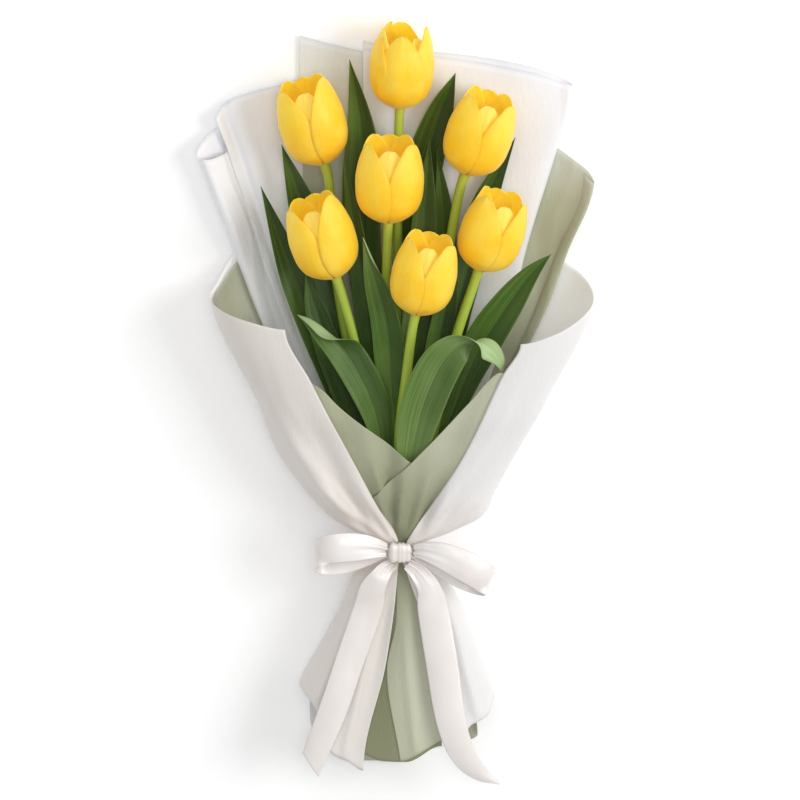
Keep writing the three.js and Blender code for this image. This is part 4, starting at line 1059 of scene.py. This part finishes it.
def on_front(line):
    """An edge on the front, x by y, as the run from the middle of the front."""
    return lambda y: along(line, y)[0] - along(SECTIONS, y)[3]


def under_flap(share, y):
    """How far the lining lies in from its layer: a little at its left, more where the flap covers it."""
    left = 0.36 * (1 - ease(0.3, 0.4, share)) * ease(0, 10, y)
    right = 0.6 * ease(0, 6, y) + 0.3 * ease(6, 14, y) * (1 - ease(30, 60, y))
    return left + ease(0.24, 0.36, share) * right


# Painted shade: the skirt is tinted darker below the tie, and the folds at the tie darker still. The left
# edge is paler.
lining_skin = paper_skin("sage_lining", paint(158, 159, 130), paint(172, 174, 147), paint(188, 189, 166),
                         paint(98, 100, 66), 0.55, skirt=paint(128, 130, 98), fold_shade_reach=0.11,
                         across=[(paint(222, 223, 214), [(0.0, 1), (0.07, 0.5), (0.16, 0)])])
left, right = share_round(LINING_LEFT, -1), share_round(LINING_RIGHT, 1)
lining, size, area = wrap_sheet(
    "sage_paper_front", "sage_front_wrap", "sage_paper", lining_skin, 1, left, right,
    top=[(0, 205), (0.1, 199), (0.178, 179), (0.23, 172.5), (0.275, 166),
         *outline(LINING_TOP_PIXELS, left, right, over_front=True), (0.8, 34), (1, 34)],
    hem=[(0, -140), (0.35, -147), (0.6, -147), (1, -136)],
    columns=170, over_front=True, rise=under_flap, creases=LINING_CREASES)
left, right = on_front(FLAP_LEFT), on_front(FLAP_RIGHT)
flap, _, flap_area = wrap_sheet(
    "sage_paper_flap", "sage_front_wrap", "sage_paper", sage_skin, FLAP_LAYER, left, right,
    top=[*sorted(outline(FLAP_TOP_PIXELS, left, right, over_front=True)), (1, 128)],
    hem=[(0, -146), (0.5, -139), (1, -131)], over_front=True, creases=FLAP_CREASES)

# ------------------------------------------------------------------ bow loops
# A satin ribbon is tied in front in a bow. Its two flat loops come out of the knot, stand off the
# paper a little and turn back to the knot underneath.
RIBBON_WIDTH = 20
RIBBON_THICKNESS = 0.4
RIBBON_EDGE = 0.7
RIBBON_COLUMNS = 25
LOOP_ROWS = 130
LOOP_BULGE = 2.6
# Which way a loop bulges, the way its width points, and its stations.
LOOPS = {
    "left": (1, (-0.05, 1.0, 0.0), [
        (-9, -1.5, 25, 4.5), (-17, 0, 29, 7), (-28, 0.8, 32.5, 9.5), (-42, 0.2, 33.5, 10.3),
        (-51, -1.5, 31, 9.8), (-55, -4.5, 27, 9.6), (-52, -8.5, 22.5, 9.6),
        (-42, -9, 20.5, 9.6), (-28, -6, 20, 8.5), (-17, -3.5, 20.4, 6.5), (-9, -2.5, 21.6, 4)]),
    "right": (-1, (0.42, 0.9, 0.0), [
        (9.4, -1.5, 25, 4.5), (17, -2, 28.5, 6.5), (30, -5.5, 32.5, 9.2), (44, -12, 33, 10.8),
        (54, -18, 30.5, 10.5), (59.3, -22.3, 26, 10), (53, -22.5, 21.5, 9.6),
        (42, -18.5, 20, 9.4), (30, -12.5, 19.8, 8.5), (18, -6.5, 20.3, 6.5), (9.4, -3, 21.6, 4)]),
}

satin = new_material("ribbon_satin", Roughness=0.27, Specular_IOR_Level=1.0, Sheen_Weight=0.1,
                     Sheen_Roughness=0.3, Coat_Weight=0.8, Coat_Roughness=0.24)
threads = mottle(satin, 60.0, (9.0, 1.0, 1.0), by="UV", detail=3, rough=0.7)
satin_tint = colours(satin, mottle(satin, 40.0, (1, 0.5, 1), detail=2), [
    (0.35, paint(232, 226, 222)), (0.65, paint(245, 241, 238))])
# Painted shade along each length of ribbon: darker at its start by the knot, about halfway where a loop
# turns under, and towards its end.
deeper = amounts(satin, place_on(satin)[1], [
    (0.0, 0.515), (0.1, 0.021), (0.3, 0), (0.45, 0.305), (0.6, 0.045), (0.95, 0.305)])
satin_tint = blend(satin, deeper, satin_tint, paint(212, 200, 192))
wire(satin, "Base Color", blend(satin, threads, satin_tint, paint(216, 206, 200), most=0.25))
relief(satin, threads, 0.00012)


def ribbon_folds(c, t, phase, reach):
    """Lengthwise folds where the ribbon is squeezed into the knot, gone further out."""
    squeezed = np.exp(-(t / reach) ** 2)
    return squeezed * (1.1 * np.sin(c * 6.0 + phase) + 0.6 * np.sin(c * 11.0 + 2 * phase))


def ribbon_piece(name, stands_for, grid):
    """A length of ribbon about a grid, and its width and length laid flat, in metres."""
    piece = make_piece(name, *shell(grid, RIBBON_THICKNESS, RIBBON_EDGE), [satin], "satin_ribbon",
                       [stands_for])
    length = np.linalg.norm(np.diff(grid[:, RIBBON_COLUMNS // 2], axis=0), axis=1).sum()
    return piece, (RIBBON_WIDTH * MM, length * MM)


c = np.linspace(-1, 1, RIBBON_COLUMNS)[None, :]
for count, (side, (outward, across, stations)) in enumerate(LOOPS.items()):
    centre, half, wide, face, t = strip_frame(stations, LOOP_ROWS, unit(np.array(across)))
    from_knot = np.minimum(t, 1 - t)
    bulge = LOOP_BULGE * (1 - c ** 2) * ease(0.05, 0.3, from_knot) * (1 - 0.6 * ease(0.55, 0.7, t))
    lift = ribbon_folds(c, from_knot, count * 1.3, 0.15) + outward * bulge
    grid = strip_grid(centre, wide, face, c * half, lift)
    loop, size = ribbon_piece(f"bow_loop_{side}", f"ribbon_loop_{side}", grid)

# ------------------------------------------------------------------ bow tails
# The two ends of the same ribbon come out under the knot and lie down the skirt. They are gently
# crowned across, ripple a little and are cut off slantwise.
TAIL_ROWS = 110
TAIL_CROWN = 2.0
TAIL_ARCH = 2.8
TAIL_RIPPLE = 1.1
TAIL_CLEAR = 0.6
# How far the cut end slants, and the stations of each tail.
TAILS = {
    "left": (-6, [
        (-4.6, -10.6, 21, 4), (-11.5, -16, 19.8, 6), (-18.4, -27, 18.2, 8.8),
        (-22, -42, 17, 10), (-34.7, -78, 17.4, 9.8), (-46.4, -112, 19.4, 9.6),
        (-61.5, -149.3, 20.4, 8.2)]),
    "right": (0, [
        (5, -10.6, 21, 4), (13, -17, 19.5, 6.5), (19.7, -27, 18, 8.2), (22.5, -42, 17, 10.4),
        (28.5, -78, 20.4, 10.9), (34.7, -117, 22, 10.2), (43, -141, 21, 8.6),
        (55, -155, 18.5, 5.5), (68.2, -163, 15.5, 0.6)]),
}

for count, (side, (slant, stations)) in enumerate(TAILS.items()):
    centre, half, wide, face, t = strip_frame(stations, TAIL_ROWS)
    lift = ribbon_folds(c, t, 1 + count, 0.14) + TAIL_RIPPLE * np.sin(t * 9 + count) * ease(0, 0.3, t)
    lift = lift + TAIL_CROWN * (1 - c ** 2) * ease(0.05, 0.3, t)
    lift = lift + TAIL_ARCH * ease(0.08, 0.25, t) * (1 - ease(0.75, 1, t)) + TAIL_CLEAR
    grid = strip_grid(centre, wide, face, c * half, lift)
    grid = grid - slant * (c * ease(0.7, 1, t))[..., None] * np.cross(wide, face)[:, None]
    tail, size = ribbon_piece(f"bow_tail_{side}", f"ribbon_tail_{side}", grid)

# ------------------------------------------------------------------ ribbon band and knot
# The same ribbon goes once round the gathered paper, squeezed to half its width, and is pulled
# over the middle of the bow in a small tight pleated knot.
BAND_HALF_HEIGHT = 5
BAND_RADIUS = TIE_RADIUS + 1.05
BAND_TURNS = 96
BAND_COLUMNS = 15
KNOT_HALF_WIDTH = 8.2
KNOT_HALF_LENGTH = 6.9
KNOT_HALF_HEIGHT = 4.2
KNOT_Y = 2.0
KNOT_Z = 22.2
KNOT_TURNS = 48
KNOT_COLUMNS = 25
KNOT_SQUARENESS = 3.4
KNOT_SHOWN = 0.96  # share of the ribbon's width that goes across the knot


def turns(count):
    return np.linspace(0, 2 * math.pi, count, endpoint=False)[:, None]


edge = np.linspace(-1, 1, BAND_COLUMNS)
gather = 0.35 * np.sin(edge * 7) + 0.2 * np.sin(edge * 13 + 1)
inside_and_outside = RIBBON_THICKNESS / 2 * np.repeat([-1, 1], BAND_COLUMNS)
out = BAND_RADIUS + np.concatenate([gather, gather[::-1]]) + inside_and_outside
turn = turns(BAND_TURNS)
up = np.concatenate([edge, edge[::-1]]) * BAND_HALF_HEIGHT + 0 * turn
grid = np.stack([out * np.sin(turn), up, out * np.cos(turn)], axis=-1)
faces, marks = net(BAND_TURNS, 2 * BAND_COLUMNS, rows_round=True, columns_round=True)
band = make_piece("bow_band", grid.reshape(-1, 3), faces, marks, [0] * len(faces), [satin],
                  "satin_ribbon", ["ribbon_band"])

turn = turns(KNOT_TURNS)
over = np.linspace(-1, 1, KNOT_COLUMNS)[None, :]
plump = np.sqrt(np.clip(1 - np.abs(over) ** 6, 0.05, 1)) * (1 - 0.08 * over ** 2)
pleats = 1 + 0.09 * np.sin(over * 8.5 + 0.6) * plump - 0.16 * np.exp(-((over - 0.12) / 0.07) ** 2)
square = np.abs(np.cos(turn)) ** KNOT_SQUARENESS + np.abs(np.sin(turn)) ** KNOT_SQUARENESS
swell = square ** (-1 / KNOT_SQUARENESS) * plump * pleats
grid = np.stack([over * KNOT_HALF_WIDTH + 0 * turn, KNOT_Y + KNOT_HALF_LENGTH * swell * np.sin(turn),
                 KNOT_Z + KNOT_HALF_HEIGHT * swell * np.cos(turn)], axis=-1)
faces, marks = net(KNOT_TURNS, KNOT_COLUMNS, rows_round=True)
marks = [(across * KNOT_SHOWN, around) for across, around in marks]
first_end = [row * KNOT_COLUMNS for row in range(KNOT_TURNS)]
last_end = [place + KNOT_COLUMNS - 1 for place in first_end]
faces += [tuple(first_end), tuple(last_end[::-1])]
marks += [(0.5, 0.5)] * 2 * KNOT_TURNS
knot = make_piece("bow_knot", grid.reshape(-1, 3), faces, marks, [0] * len(faces), [satin],
                  "satin_ribbon", ["ribbon_knot"])
